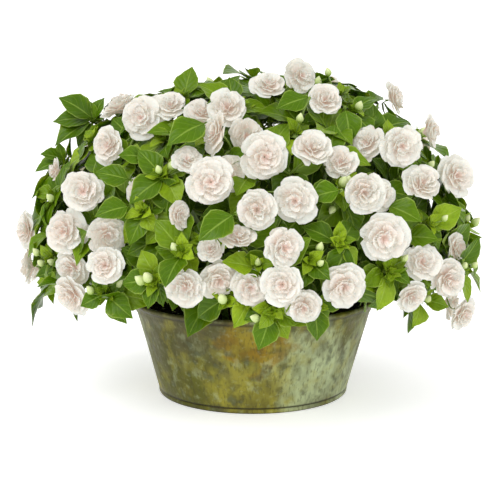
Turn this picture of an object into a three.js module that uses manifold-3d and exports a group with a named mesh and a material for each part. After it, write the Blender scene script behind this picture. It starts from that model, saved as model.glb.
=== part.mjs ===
// A busy lizzie (double Impatiens walleriana) grown in a round zinc tub.
// Millimetres, +Z up, origin at the centre of the tub's flat base.
//
// The plant is a mound of leafy stems that stand in holes in the potting mix. Its near side is set
// out by hand on a front elevation: [across, up] in mm on the upright plane through the tub's axis,
// as an eye 1.2 m away sees it. The far side follows a spiral rule. Every leaf, stalk and bloom is
// then bent clear of what belongs to another node, by the first of a few small turns that is clear.
import * as THREE from "three";
import { mergeVertices } from "three/addons/utils/BufferGeometryUtils.js";
import Module from "manifold-3d";

const wasm = await Module();
wasm.setup();

// ---------- driving dimensions ----------
const GAP = 0.3; // between pieces that touch
const CLEAR = 0.5; // between leaves or blooms and another node
const TUB = { baseRadius: 94, rimRadius: 120, height: 96, wall: 1.6, bead: 2.4, sides: 36 };
const SOIL = { edge: 83, crown: 86 };
const STEM = { foot: 4.2, hub: 3.2, sides: 5, depth: 34, slack: 0.45, collar: 6 };
const FORK = { foot: 0.36, hub: 0.62, level: 112, climb: 0.5, sunk: 2.5 }; // where a stem stands and forks
const BRANCH = { root: 1.8, bow: 2.2, tip: 1.8, sides: 4, bud: 0.4 };
const STALK = { radius: 0.9, seat: 1.5, sides: 3, steepest: 0.42, knots: [21, 27, 34, 42, 17] };
const BUNCH_SPAN = 56; // the farthest that a bunch's blooms stand from its first
const STALK_ROOTS = [0.5, 0.7, 0.9, 1.1, 1.3, 1.5, 1.7]; // along a branch of two reaches
const STALK_REACHES = [9, 16, 4, 24];
const LEAF = { thick: 0.9, fold: 0.3, arch: 0.12, droop: 0.3, roll: 0.35, steepest: 0.9 };
const WHORL = { depths: [2, 9, 16], apart: 50, turn: 120, blade: 37, gap: 2, collar: 4.5, filler: 26 };
const BLOOM = { back: 0.46, front: 0.44 }; // shares of the radius
const MOUND = { centre: new THREE.Vector3(0, 0, 145), radius: 222, rise: 178, drop: 80 };
const HEART = new THREE.Vector3(0, 0, 40); // leaves and blooms look away from here
const VIEW = { aim: new THREE.Vector3(-3, 0, 141.5), distance: 1200, elevation: 9 };
const SHOOT_DEPTH = 12; // a shoot's tip below the mound's surface

// ---------- finishes ----------
const finish = (color, roughness, metalness) =>
  new THREE.MeshStandardMaterial({ color, roughness, metalness });
const ZINC = finish(0x7c7f5c, 0.55, 0.6);
const MIX = finish(0x2e241c, 0.95, 0);
const GREEN = finish(0x4c8a24, 0.5, 0);
const PETAL = finish(0xf6efe9, 0.6, 0);

// ---------- the near side, set out on the front elevation ----------
// Blooms: [across, up, lift off the mound, turn to the right, tilt up, diameter], in degrees and mm.
const NEAR_BLOOMS = [
  [-223, 20, 0, -52, 4, 35],
  [-182, 18, 2, -14, 6, 41],
  [-162, 54, 6, -6, 14, 40],
  [-150, 22, -10, 18, -10, 36],
  [-138, 102, 2, -28, 8, 36],
  [-112, 66, -12, 0, 12, 34],
  [-107, 128, 4, -8, 12, 36],
  [-97, 148, -8, 6, 38, 32],
  [-79, 142, -2, -8, 42, 32],
  [-50, 142, -6, 8, 44, 32],
  [-22, 137, 4, -4, 22, 40],
  [-5, 122, -8, 18, 6, 34],
  [-33, 109, 8, -66, 12, 36],
  [-22, 84, -10, 12, -16, 33],
  [18, 159, 4, -4, 46, 34],
  [50, 170, 4, 22, 10, 30],
  [73, 144, 4, 10, 32, 36],
  [141, 146, 6, 66, 18, 32],
  [174, 113, 6, 70, 6, 34],
  [-62, 86, 4, 8, 40, 28],
  [-38, 62, 8, 0, 10, 40],
  [14, 88, 6, 2, 6, 40],
  [60, 96, 4, 6, 40, 38],
  [91, 87, 2, -4, 30, 32],
  [120, 110, -4, -34, 20, 32],
  [142, 92, 0, 12, 2, 36],
  [134, 62, -10, 12, 10, 32],
  [7, 38, 4, -2, 2, 39],
  [45, 48, 2, -6, 0, 38],
  [110, 53, 8, 6, 0, 40],
  [166, 60, 6, 14, 40, 40],
  [200, 70, 6, 30, 16, 39],
  [131, 10, 4, 4, 2, 42],
  [-140, -18, 6, -10, 6, 32],
  [-186, -14, -10, -22, -18, 34],
  [-174, -47, 4, -34, -24, 38],
  [-13, 10, 2, 4, 62, 32],
  [-40, 2, -4, -10, 24, 26],
  [32, -1, 8, 22, 4, 36],
  [-72, 35, 0, 54, 12, 26],
  [-64, -36, 0, -8, -10, 38],
  [-33, -24, -4, 10, -12, 37],
  [1, -34, -10, 6, 0, 32],
  [31, -38, 8, -6, 4, 34],
  [52, -58, 6, 4, -14, 32],
  [93, -36, 2, 12, -8, 40],
  [159, -46, 2, 24, -18, 30],
  [172, -12, -4, 8, 22, 36],
  [191, -29, 6, 26, -4, 40],
  [211, 6, -6, 52, 2, 30],
  [207, -64, 4, 44, -16, 35],
  [-197, 81, -4, -66, 6, 26],
];

// Leafy stems: each carries shoots, [across, up, lift, ...leaves], and each leaf is [heading, length]:
// the way it points, in degrees anticlockwise from the right, and its blade's length in mm.
const NEAR_STEMS = [
  [
    [-17, 152, 4, [97, 28], [140, 36], [184, 42], [352, 30], [225, 26], [320, 26]],
    [49, 126, 0, [172, 32], [215, 28], [258, 24], [325, 32], [30, 30]],
    [-2, 72, -4, [240, 26], [190, 22], [300, 20]],
  ],
  [
    [90, 160, 6, [165, 30], [140, 24], [60, 18], [20, 20], [250, 22]],
    [104, 146, 4, [275, 34], [315, 22], [45, 28], [200, 24]],
    [146, 118, 2, [290, 30], [335, 24], [200, 22], [80, 18]],
  ],
  [
    [-157, 132, 10, [115, 22], [75, 24], [30, 24], [170, 18], [270, 22]],
    [-162, 116, 4, [237, 42], [212, 36], [190, 30], [310, 30], [350, 26]],
    [-88, 122, -2, [205, 34], [150, 26], [60, 22], [285, 24]],
    [-70, 164, 0, [168, 34], [24, 28], [90, 28], [250, 24]],
  ],
  [
    [-202, 61, 4, [75, 34], [20, 26], [268, 30], [160, 20], [225, 18]],
    [-208, -6, 2, [262, 22], [300, 30], [95, 26], [200, 22]],
    [-117, 70, 4, [180, 30], [150, 26], [225, 22]],
  ],
  [
    [-88, 77, 8, [227, 38], [297, 32], [133, 28], [170, 32]],
    [-110, 43, 6, [250, 30], [210, 32], [300, 22], [20, 22]],
    [-44, 122, 0, [235, 36], [190, 30], [40, 24]],
  ],
  [
    [-70, 0, 8, [130, 34], [262, 38], [170, 26]],
    [-54, 8, 8, [35, 38], [285, 28], [85, 24], [120, 22]],
    [9, -16, 4, [178, 30], [320, 20], [60, 18]],
  ],
  [
    [-96, -27, 6, [182, 32], [122, 28], [155, 24], [255, 26]],
    [-155, -42, 2, [325, 34], [345, 36], [300, 28], [105, 24], [205, 22]],
  ],
  [
    [95, 70, 4, [210, 32], [265, 24], [330, 22]],
    [92, 9, 8, [155, 34], [190, 36], [250, 36], [310, 24], [275, 34]],
    [63, -8, 4, [245, 28], [300, 24], [150, 22]],
  ],
  [
    [180, 90, 2, [200, 28], [20, 18], [270, 20], [110, 18]],
    [182, 28, 6, [172, 36], [192, 34], [300, 24], [135, 24], [28, 28]],
    [213, -18, 10, [62, 32], [40, 28], [285, 32], [350, 22], [120, 20]],
  ],
  [
    [143, -18, 4, [205, 32], [190, 28], [222, 30], [250, 34], [330, 22]],
    [184, -48, 0, [230, 28], [285, 24], [250, 36], [205, 24], [350, 22]],
  ],
  [
    [0, -38, 6, [245, 32], [205, 32], [160, 24]],
    [-33, -42, 6, [245, 42], [205, 30], [295, 24], [175, 26]],
    [22, -60, 8, [252, 34], [300, 30], [335, 26], [200, 24]],
    [68, -53, 4, [275, 30], [225, 24], [315, 24]],
  ],
];

// ---------- the far side, by rule ----------
// Counts are of places on a spiral round the whole mound, from its crown down to a level in its hem.
// The shoots' spiral begins half a place early, with one shoot on the crown itself.
const SPIRAL_TURN = 137.508;
const FAR_BLOOMS = { places: 20, lowest: -0.55, from: -60, apart: 54, size: 36, spread: 23 };
const FAR_SHOOTS = { first: -0.5, places: 43, lowest: -0.6, from: -75, apart: 36, stems: 4 };
const FAR_LEAVES = { count: 7, length: 48 };

// A blade's edge, from its broadest place towards its tip, as [along, half width] shares of its length:
// the near leaves have a cut edge, the far ones and the fillers a plain one.
const CUT_EDGE = [
  [0.4, 0.3],
  [0.53, 0.24],
  [0.7, 0.21],
];
const PLAIN_EDGE = [[0.46, 0.27]];

// ---------- small tools ----------
const point = (x, y, z) => new THREE.Vector3(x, y, z);
const radians = THREE.MathUtils.degToRad;
const sum = (p, ...steps) => steps.reduce((q, [v, length]) => q.addScaledVector(v, length), p.clone());
const between = (a, b, share) => a.clone().lerp(b, share);
const mean = (points) => sum(point(0, 0, 0), ...points.map((p) => [p, 1 / points.length]));
const UP = point(0, 0, 1);

// A repeatable number from 0 to 1 for a seed and a place in its row, and one from -size to size.
function chance(seed, place) {
  let state = (seed * 7919 + place * 104729 + 12345) % 4294967296;
  for (let turn = 0; turn < 3; turn++) state = (state * 1664525 + 1013904223) % 4294967296;
  return state / 4294967296;
}
const jitter = (seed, place, size) => (2 * chance(seed, place) - 1) * size;

function facing(turn, tilt) {
  const level = Math.cos(radians(tilt));
  return point(Math.sin(radians(turn)) * level, -Math.cos(radians(turn)) * level, Math.sin(radians(tilt)));
}
const toEye = facing(0, VIEW.elevation);
const eye = sum(VIEW.aim, [toEye, VIEW.distance]);
const viewRight = point(1, 0, 0);
const viewUp = toEye.clone().cross(viewRight);
const outward = (p) => p.clone().sub(HEART).normalize();

// Where a sight line meets the mound, or passes closest to it.
function sightHit(direction, height) {
  const scale = point(1 / MOUND.radius, 1 / MOUND.radius, 1 / height);
  const from = eye.clone().sub(MOUND.centre).multiply(scale);
  const along = direction.clone().multiply(scale);
  const a = along.dot(along);
  const b = from.dot(along);
  const inside = Math.max(b * b - a * (from.dot(from) - 1), 0);
  return sum(eye, [direction, (-b - Math.sqrt(inside)) / a]);
}

function onMound(across, up, lift) {
  const through = sum(VIEW.aim, [viewRight, across], [viewUp, up]);
  const direction = through.sub(eye).normalize();
  const high = sightHit(direction, MOUND.rise);
  const place = high.z < MOUND.centre.z ? sightHit(direction, MOUND.drop) : high;
  return sum(place, [outward(place), lift]);
}

// Place number k of a spiral that covers the mound evenly.
function onSpiral(k, { places, lowest }) {
  const level = 1 - ((k + 0.5) / places) * (1 - lowest);
  const ring = Math.sqrt(1 - level * level) * MOUND.radius;
  const height = level * (level > 0 ? MOUND.rise : MOUND.drop);
  return sum(MOUND.centre, [facing(k * SPIRAL_TURN, 0), ring], [UP, height]);
}

// ---------- solids ----------
function solid(points, faces) {
  const vertProperties = new Float32Array(points.flatMap((p) => [p.x, p.y, p.z]));
  const triVerts = new Uint32Array(faces.flat());
  return new wasm.Manifold(new wasm.Mesh({ numProp: 3, vertProperties, triVerts }));
}

// A profile of [radius, height] turned round the vertical axis.
function turned(profile, sides) {
  const geometry = new THREE.LatheGeometry(profile.map(([r, z]) => new THREE.Vector2(r, z)), sides);
  geometry.deleteAttribute("normal").deleteAttribute("uv").rotateX(Math.PI / 2);
  const { attributes, index } = mergeVertices(geometry, 1e-3);
  const triVerts = new Uint32Array(index.array);
  return new wasm.Manifold(
    new wasm.Mesh({ numProp: 3, vertProperties: attributes.position.array, triVerts }),
  );
}

// Several solids as one body: what they seal in is filled, and loose scraps are dropped.
function joined(solids) {
  const bodies = wasm.Manifold.union(solids).decompose();
  return bodies.reduce((a, b) => (b.volume() > a.volume() ? b : a));
}

// A ring of points round a centre: each entry is [angle, radius, height along the axis].
function ring(centre, axis, side, entries) {
  const other = axis.clone().cross(side);
  const points = entries.map(([angle, radius, height = 0]) => {
    const t = radians(angle);
    return sum(centre, [side, Math.cos(t) * radius], [other, Math.sin(t) * radius], [axis, height]);
  });
  return { points, angles: entries.map(([angle]) => angle) };
}
const disc = (radius, sides) => Array.from({ length: sides }, (_, i) => [(i * 360) / sides, radius]);
const squared = (side, axis) => sum(side, [axis, -side.dot(axis)]).normalize();
const levelSide = (axis) => squared(Math.abs(axis.z) < 0.9 ? UP : point(0, 1, 0), axis);

// Rings zipped into one skin. An end ring is a single point, or is closed flat.
function skin(rings) {
  const faces = [];
  let first = 0;
  for (let r = 0; r + 1 < rings.length; r++) {
    const [a, b] = [rings[r].angles, rings[r + 1].angles];
    const second = first + a.length;
    const [stepsA, stepsB] = [a, b].map((angles) => (angles.length > 1 ? angles.length : 0));
    const bearing = (angles, n) => angles[n % angles.length] + 360 * Math.floor(n / angles.length);
    const halfway = (angles, n) => bearing(angles, n) + bearing(angles, n + 1);
    let [i, j] = [0, 0];
    while (i < stepsA || j < stepsB) {
      const p = first + (i % a.length);
      const q = second + (j % b.length);
      if (j === stepsB || (i < stepsA && halfway(a, i) <= halfway(b, j))) {
        i++;
        faces.push([p, first + (i % a.length), q]);
      } else {
        j++;
        faces.push([p, second + (j % b.length), q]);
      }
    }
    first = second;
  }
  for (let i = 1; i + 1 < rings[0].points.length; i++) faces.push([0, i + 1, i]);
  for (let i = 1; i + 1 < rings.at(-1).points.length; i++) faces.push([first, first + i, first + i + 1]);
  return solid(rings.flatMap(({ points }) => points), faces);
}

// A tapering tube along a path, its sides carried from point to point without twist.
function tube(path, radii, sides) {
  let side = null;
  const rings = path.map((centre, k) => {
    const back = path[Math.max(k - 1, 0)];
    const ahead = path[Math.min(k + 1, path.length - 1)];
    const along = ahead.clone().sub(back).normalize();
    side = squared(side || (Math.abs(along.x) < 0.8 ? viewRight : UP), along);
    return ring(centre, along, side, disc(radii[k], sides));
  });
  return skin(rings);
}

// ---------- blooms ----------
// A rosette in one skin: a cone behind, five broad outer petals, five narrower ones between them and
// a cup of five in the middle. Each layer's petals stand out over the one below. In a bunch, the skin
// begins as the bloom's own stalk, at the knot that the bunch shares.
function bloomSolid({ centre, face, size, seed, knot }, grow = 0) {
  const spin = chance(seed, 1) * 72;
  const side = levelSide(face);
  const radius = size / 2 + grow;
  const layer = (entries) =>
    ring(centre, face, side, entries.map(([angle, r, h]) => [angle + spin, r * radius, h * radius]));
  const petals = [0, 1, 2, 3, 4];
  const outer = petals.flatMap((i) => [
    [72 * i - 36, 0.76, 0.02],
    [72 * i - 17, 1 + jitter(seed, 10 + i, 0.05), 0.08 + jitter(seed, 20 + i, 0.07)],
    [72 * i + 17, 1 + jitter(seed, 15 + i, 0.05), -0.08 + jitter(seed, 25 + i, 0.07)],
  ]);
  const second = petals.flatMap((i) => [
    [72 * i, 0.56, 0.26],
    [72 * i + 36, 0.78 + jitter(seed, 30 + i, 0.05), 0.36 + jitter(seed, 35 + i, 0.06)],
  ]);
  const cup = petals.map((i) => [
    72 * i,
    0.46 + jitter(seed, 40 + i, 0.05),
    0.56 + jitter(seed, 45 + i, 0.05),
  ]);
  const back = sum(centre, [face, -BLOOM.back * radius]);
  const behind = knot
    ? [knot.ring, ring(back, face, side, disc(STALK.radius + grow, STALK.sides))]
    : [layer([[0, 0, -BLOOM.back]])];
  return skin([
    ...behind,
    layer(outer),
    layer(petals.map((i) => [72 * i, 0.5, 0.08])),
    layer(second),
    layer(cup),
    layer([[0, 0, BLOOM.front]]),
  ]);
}

function nearBloom([across, up, lift, turn, tilt, size], index) {
  return { centre: onMound(across, up, lift), face: facing(turn, tilt), size, seed: 100 + index };
}

// Far blooms stand in twos and threes round places on the spiral, wherever there is room.
function farBlooms(near) {
  const blooms = [];
  for (let k = 0; k < FAR_BLOOMS.places; k++) {
    const seed = 500 + 10 * k;
    const middle = onSpiral(k, FAR_BLOOMS);
    const room = near.every((bloom) => bloom.centre.distanceTo(middle) > FAR_BLOOMS.apart);
    if (middle.y < FAR_BLOOMS.from || !room) continue;
    const side = UP.clone().cross(outward(middle)).normalize();
    const other = outward(middle).cross(side);
    const count = chance(seed, 90) < 0.4 ? 2 : 3;
    for (let i = 0; i < count; i++) {
      const t = 2 * Math.PI * (i / count + chance(seed, 91));
      const spread = FAR_BLOOMS.spread + jitter(seed + i, 92, 2);
      const place = sum(middle, [side, Math.cos(t) * spread], [other, Math.sin(t) * spread]);
      const stray = point(jitter(seed + i, 93, 1), jitter(seed + i, 94, 1), jitter(seed + i, 95, 1));
      const face = sum(outward(place), [stray, 0.35]).normalize();
      const centre = sum(place, [outward(place), jitter(seed + i, 96, 5)]);
      blooms.push({ centre, face, size: FAR_BLOOMS.size + jitter(seed + i, 97, 4), seed: seed + i });
    }
  }
  return blooms;
}

// What carries a bunch: a lone bloom's back, or the knot behind its middle that its blooms share.
function seatOf(bunch, depth) {
  const face = mean(bunch.map((bloom) => bloom.face)).normalize();
  const [{ centre, size }] = bunch;
  if (bunch.length === 1) return { face, at: sum(centre, [face, (-BLOOM.back * size) / 2 - GAP]) };
  const at = sum(mean(bunch.map((bloom) => bloom.centre)), [face, -depth]);
  const knot = { at, ring: ring(at, face, levelSide(face), disc(STALK.seat, STALK.sides)) };
  return { face, knot, at: sum(at, [face, -GAP]) };
}

// How steeply a bloom's stalk meets its back, as a cosine.
function steepness({ centre, face, size }, { at }) {
  const back = sum(centre, [face, (-BLOOM.back * size) / 2]);
  return back.sub(at).normalize().dot(face);
}

function stalkSolid(root, { face, at }, reach, grow = 0) {
  const knee = sum(at, [face, -reach]);
  const radii = [STALK.radius + grow, STALK.radius + grow, STALK.seat];
  return tube([root, knee, at], radii, STALK.sides);
}

// ---------- leafy stems ----------
const wrapped = (angle) => ((angle % 360) + 360) % 360;
const turnBetween = (a, b) => Math.abs(wrapped(a - b + 180) - 180);

function nearShoot([across, up, lift, ...rows], seed) {
  const tip = onMound(across, up, lift - SHOOT_DEPTH);
  const out = outward(tip);
  const side = levelSide(out);
  const other = out.clone().cross(side);
  const leaves = rows.map(([heading, length], i) => {
    const t = radians(heading);
    const way = sum(point(0, 0, 0), [viewRight, Math.cos(t)], [viewUp, Math.sin(t)]);
    const level = squared(way, out);
    const climb = Math.max(way.dot(out), 0) / Math.max(way.dot(level), 0.4);
    const rise = Math.min(climb, LEAF.steepest) + LEAF.arch + jitter(seed + i, 1, 0.15);
    const angle = wrapped(THREE.MathUtils.radToDeg(Math.atan2(level.dot(other), level.dot(side))));
    return { angle, length, rise, edge: CUT_EDGE, seed: seed + i };
  });
  return { tip, out, whorls: whorled(leaves) };
}

// Far shoots stand on the spiral, wherever there is room beside those that stand already.
function farShoots(near) {
  const shoots = [];
  for (let k = 0; k < FAR_SHOOTS.places; k++) {
    const seed = 3000 + 20 * k;
    const level = onSpiral(k + FAR_SHOOTS.first, FAR_SHOOTS);
    const tip = sum(level, [outward(level), -SHOOT_DEPTH]);
    const room = near.every((shoot) => shoot.tip.distanceTo(tip) > FAR_SHOOTS.apart);
    if (tip.y < FAR_SHOOTS.from || !room) continue;
    const leaves = Array.from({ length: FAR_LEAVES.count }, (_, i) => ({
      angle: wrapped(SPIRAL_TURN * i + jitter(seed + i, 2, 12)),
      length: FAR_LEAVES.length + jitter(seed + i, 3, 6),
      rise: 2 * LEAF.arch + jitter(seed + i, 1, 0.2),
      edge: PLAIN_EDGE,
      seed: seed + i,
    }));
    shoots.push({ tip, out: outward(tip), whorls: whorled(leaves) });
  }
  return shoots;
}

// Leaves are dealt to the first whorl that has room for them.
function whorled(leaves) {
  const whorls = WHORL.depths.map((depth) => ({ depth, leaves: [] }));
  for (const leaf of leaves) {
    const isApart = (other) => turnBetween(other.angle, leaf.angle) > WHORL.apart;
    whorls.find((whorl) => whorl.leaves.every(isApart)).leaves.push(leaf);
  }
  return whorls.filter((whorl) => whorl.leaves.length).map(filledOut);
}

// Wide turns between a whorl's leaves get filler leaves, and close neighbours are squeezed narrower.
function filledOut({ depth, leaves }) {
  const inOrder = (a, b) => a.angle - b.angle;
  const turnOn = (row, i) => wrapped(row[(i + 1) % row.length].angle - row[i].angle) || 360;
  leaves.sort(inOrder);
  const fillers = leaves.flatMap(({ angle, seed }, i) => {
    const turn = turnOn(leaves, i);
    const parts = Math.max(Math.round(turn / WHORL.turn), 1);
    return Array.from({ length: parts - 1 }, (_, k) => ({
      angle: wrapped(angle + (turn * (k + 1)) / parts),
      length: WHORL.filler + jitter(seed + 7 * (k + 1), 5, 4),
      rise: LEAF.arch + jitter(seed + 7 * (k + 1), 4, 0.2),
      edge: PLAIN_EDGE,
      seed: seed + 7 * (k + 1),
    }));
  });
  const full = [...leaves, ...fillers].sort(inOrder);
  full.forEach((leaf, i) => {
    const turns = [turnOn(full, (i || full.length) - 1), turnOn(full, i)];
    leaf.squeeze = turns.map((turn) => Math.min((turn / 2 - WHORL.gap) / WHORL.blade, 1));
  });
  return { depth, leaves: full };
}

// One leaf's edge: out from its broadest place to its tip and back, folded up from the midrib,
// rolled a little to one side and arched over.
function leafRim({ angle, length, rise, edge, seed, squeeze }, [scale, lift], grow) {
  const reach = length * scale + grow;
  const roll = jitter(seed, 6, LEAF.roll);
  const height = (t, w) => (rise + lift) * t - LEAF.droop * t * t + LEAF.fold * Math.abs(w) + roll * w;
  const at = ([t, w], sign) => {
    const turn = THREE.MathUtils.radToDeg(Math.atan2(w, t)) * squeeze[sign < 0 ? 0 : 1];
    return [angle + sign * turn, reach * Math.hypot(t, w), reach * height(t, sign * w)];
  };
  const sides = [-1, 1].map((sign) => edge.map((place) => at(place, sign)));
  return [...sides[0], [angle, reach, reach * height(1, 0)], ...sides[1].reverse()];
}

// A whorl's whole rim, with a collar round the stem between its leaves.
function whorlRim(rims) {
  const rim = rims.flatMap((leaf, i) => {
    const [from] = leaf.at(-1);
    const turn = wrapped(rims[(i + 1) % rims.length][0][0] - from);
    const steps = Math.max(Math.ceil(turn / 90), 1);
    const part = turn / (steps + 1);
    const collar = Array.from({ length: steps }, (_, k) => [from + part * (k + 1), WHORL.collar]);
    return [...leaf, ...collar];
  });
  return rim.map(([angle, ...rest]) => [wrapped(angle), ...rest]).sort(([a], [b]) => a - b);
}

const whorlAt = ({ tip, axis }, depth) => sum(tip, [axis, -depth]);

// A thin star of leaves by itself, from its rim.
function starSolid(shoot, depth, rim, grow) {
  const side = levelSide(shoot.out);
  const layer = (entries) => ring(whorlAt(shoot, depth), shoot.out, side, entries);
  const half = LEAF.thick + grow;
  return skin([layer([[0, 0, -half]]), layer(rim), layer([[0, 0, half]])]);
}

// A branch from its hub to its tip in one skin, with its whorls as flanges cut to the stem.
function branchSolid(shoot, whorls = [], grow = 0) {
  const { path, out } = shoot;
  const [hub, bow, tip] = path;
  const first = bow.clone().sub(hub).normalize();
  const second = tip.clone().sub(hub).normalize();
  const side = levelSide(out);
  const bowSide = squared(side, second);
  const section = (centre, along, across, radius) =>
    ring(centre, along, across, disc(radius + grow, BRANCH.sides));
  const budded = (depth, height, radius) =>
    section(sum(whorlAt(shoot, depth), [out, height]), out, side, radius);
  const deepestFirst = [...whorls].sort((a, b) => b.depth - a.depth);
  const flanges = deepestFirst.flatMap(({ depth, rim }) => [
    budded(depth, -LEAF.thick, BRANCH.bow),
    ring(whorlAt(shoot, depth), out, side, rim),
    budded(depth, LEAF.thick, BRANCH.tip),
  ]);
  return skin([
    section(hub, first, squared(bowSide, first), BRANCH.root),
    section(bow, second, bowSide, BRANCH.bow),
    ...flanges,
    budded(0, LEAF.thick + BRANCH.bud, BRANCH.tip),
  ]);
}

// ---------- placing without crossing ----------
// Everything placed so far. Kin grow from one another, such as a branch and its leaves: where they
// meet is no crossing, and only their blades are kept apart.
const standing = [];

function extent(made) {
  const { min, max } = made.boundingBox();
  const [low, high] = [point(...min), point(...max)];
  return { middle: between(low, high, 0.5), reach: low.distanceTo(high) / 2 };
}

function stand(kin, made, blade = null) {
  standing.push({ kin, made, blade, ...extent(made) });
  return made;
}

function isClear(made, isKin, blade = null) {
  const { middle, reach } = extent(made);
  return standing.every((other) => {
    const [mine, theirs] = isKin(other.kin) ? [blade, other.blade] : [made, other.made];
    if (!mine || !theirs || other.middle.distanceTo(middle) > other.reach + reach) return true;
    return mine.intersect(theirs).isEmpty();
  });
}

// What is tried in turn: a bloom's lift, a branch's bow aside and above and its shoot's depth, in mm,
// a leaf's share of its length with its added rise, and a whole whorl's share of its size.
const LIFTS = [0, 3, -3, 6, -6, 10, -10, 15, -15];
const BOWS = [0, 10, -10, 20, -20, 32, -32].flatMap((aside) => [6, 24, -12].map((above) => [aside, above]));
const DEPTHS = [0, 8, 16, 24];
const FITS = [1, 0.85, 0.7, 0.55, 0.4].flatMap((scale) => [0, 0.28, -0.28, 0.5].map((lift) => [scale, lift]));
const SHRINKS = [1, 0.8, 0.6];

// A bloom is lifted until it is clear of those before it.
function placeBloom(bloom) {
  const out = outward(bloom.centre);
  const choices = LIFTS.map((lift) => ({ ...bloom, centre: sum(bloom.centre, [out, lift]) }));
  const placed = choices.find((choice) => isClear(bloomSolid(choice, CLEAR), () => false));
  stand(placed, bloomSolid(placed));
  return placed;
}

// The first knot at which a bunch's stalks meet their blooms from behind and cross nothing.
function seatFor(bunch) {
  const isKin = (other) => bunch.includes(other);
  return STALK.knots.map((depth) => seatOf(bunch, depth)).find(({ knot }) => {
    if (!knot) return true;
    return bunch.every((bloom) => {
      const isSteep = steepness(bloom, knot) > STALK.steepest;
      return isSteep && isClear(bloomSolid({ ...bloom, knot }, GAP), isKin);
    });
  });
}

// Neighbouring blooms are gathered in bunches of up to three, where a knot can be found for them.
function gathered(blooms) {
  const bunches = [];
  const free = new Set(blooms);
  for (const bloom of blooms) {
    if (!free.has(bloom)) continue;
    const range = (other) => other.centre.distanceTo(bloom.centre);
    const others = [...free].filter((other) => other !== bloom && range(other) < BUNCH_SPAN);
    const [second, third] = others.sort((a, b) => range(a) - range(b));
    const choices = [[bloom, second, third], [bloom, second], [bloom, third], [bloom]];
    const bunch = choices.find((choice) => !choice.includes(undefined) && seatFor(choice));
    const seat = seatFor(bunch);
    const solids = bunch.map((member) => bloomSolid({ ...member, knot: seat.knot }));
    for (const member of bunch) free.delete(member);
    for (const made of solids) stand(bunch, made);
    bunches.push({ seat, solids });
  }
  return bunches;
}

// A branch bows the first way that is clear, and gives up some length if none is.
function placeBranch(shoot) {
  const { trunk, hub, out } = shoot;
  const choices = DEPTHS.flatMap((depth) => {
    const tip = sum(shoot.tip, [out, -depth]);
    const reach = tip.clone().sub(hub);
    const sideways = reach.clone().cross(UP).normalize();
    return BOWS.map(([aside, above]) => {
      const bow = sum(hub, [reach, 0.5], [UP, above], [sideways, aside]);
      return { ...shoot, tip, path: [hub, bow, tip], axis: tip.clone().sub(bow).normalize() };
    });
  });
  const isKin = (other) => other === trunk || other.trunk === trunk;
  Object.assign(shoot, choices.find((choice) => isClear(branchSolid(choice, [], CLEAR), isKin)));
  stand(shoot, branchSolid(shoot));
}

// A stalk leaves the nearest branch that it can reach without crossing anything.
function placeStalk(seat, shoots) {
  const along = ([hub, bow, tip], share) =>
    share < 1 ? between(hub, bow, share) : between(bow, tip, share - 1);
  const roots = shoots.flatMap((shoot) =>
    STALK_ROOTS.map((share) => ({ shoot, from: along(shoot.path, share) })),
  );
  roots.sort((a, b) => a.from.distanceTo(seat.at) - b.from.distanceTo(seat.at));
  const choices = roots.flatMap((root) => STALK_REACHES.map((reach) => ({ ...root, reach })));
  const { shoot, from, reach } = choices.find((choice) =>
    isClear(stalkSolid(choice.from, seat, choice.reach, GAP), (other) => other === choice.shoot),
  );
  const made = stalkSolid(from, seat, reach);
  shoot.trunk.solids.push(stand(shoot, made, made));
}

// Each leaf takes the first length and rise at which it is clear, and its whorl is shrunk if need be.
function placeWhorls(shoot) {
  const { trunk } = shoot;
  const isOwn = (other) => other === shoot;
  const isKin = (other) => other === trunk || other.trunk === trunk;
  const placed = [];
  for (const { depth, leaves } of shoot.whorls) {
    const isFree = (rim, grow) => {
      const star = starSolid(shoot, depth, rim, grow);
      return isClear(star, isOwn, star);
    };
    const fits = leaves.map((leaf) => {
      const [before, after, behind] = [-60, 60, 180].map((turn) => [leaf.angle + turn, WHORL.collar]);
      const alone = (fit) => [before, ...leafRim(leaf, fit, CLEAR), after, behind];
      return { leaf, fit: FITS.find((fit) => isFree(alone(fit), CLEAR)) };
    });
    const kept = fits.filter(({ fit }) => fit);
    if (kept.length === 0) continue;
    const whorls = SHRINKS.map((share) => {
      const rims = kept.map(({ leaf, fit: [scale, lift] }) => leafRim(leaf, [scale * share, lift], 0));
      return { depth, rim: whorlRim(rims) };
    });
    const whorl = whorls.find(
      (choice) => isFree(choice.rim, 0) && isClear(branchSolid(shoot, [...placed, choice]), isKin),
    );
    if (!whorl) continue;
    placed.push(whorl);
    const star = starSolid(shoot, depth, whorl.rim, 0);
    stand(shoot, star, star);
  }
  trunk.solids.push(branchSolid(shoot, placed));
}

// ---------- the tub and its potting mix ----------
const wallAt = (z) => TUB.baseRadius + ((TUB.rimRadius - TUB.baseRadius) * z) / TUB.height;

function tubSolid() {
  const { baseRadius: base, rimRadius: rim, height: top, wall, bead, sides } = TUB;
  const profile = [
    [0, 0],
    [base + 0.6, 0],
    [base + bead, 1.6],
    [base + bead, 4.2],
    [wallAt(6.5), 6.5],
    [wallAt(top - 12), top - 12],
    [wallAt(top - 11) + 1, top - 11],
    [wallAt(top - 3.5) + 0.9, top - 3.5],
    [rim + bead, top - 3],
    [rim + bead, top - 0.8],
    [rim + 0.6, top],
    [rim - wall, top - 1.2],
    [wallAt(wall) - wall, wall],
    [0, wall],
  ];
  return turned(profile, sides);
}

function soilSolid(holes) {
  const low = TUB.wall + GAP;
  const edge = (z) => wallAt(z) - TUB.wall - GAP;
  const profile = [
    [0, low],
    [edge(low), low],
    [edge(SOIL.edge), SOIL.edge],
    [0, SOIL.crown],
  ];
  return holes.reduce((mix, hole) => mix.subtract(hole), turned(profile, TUB.sides));
}

// ---------- assembly ----------
const tub = stand("tub", tubSolid());

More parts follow.
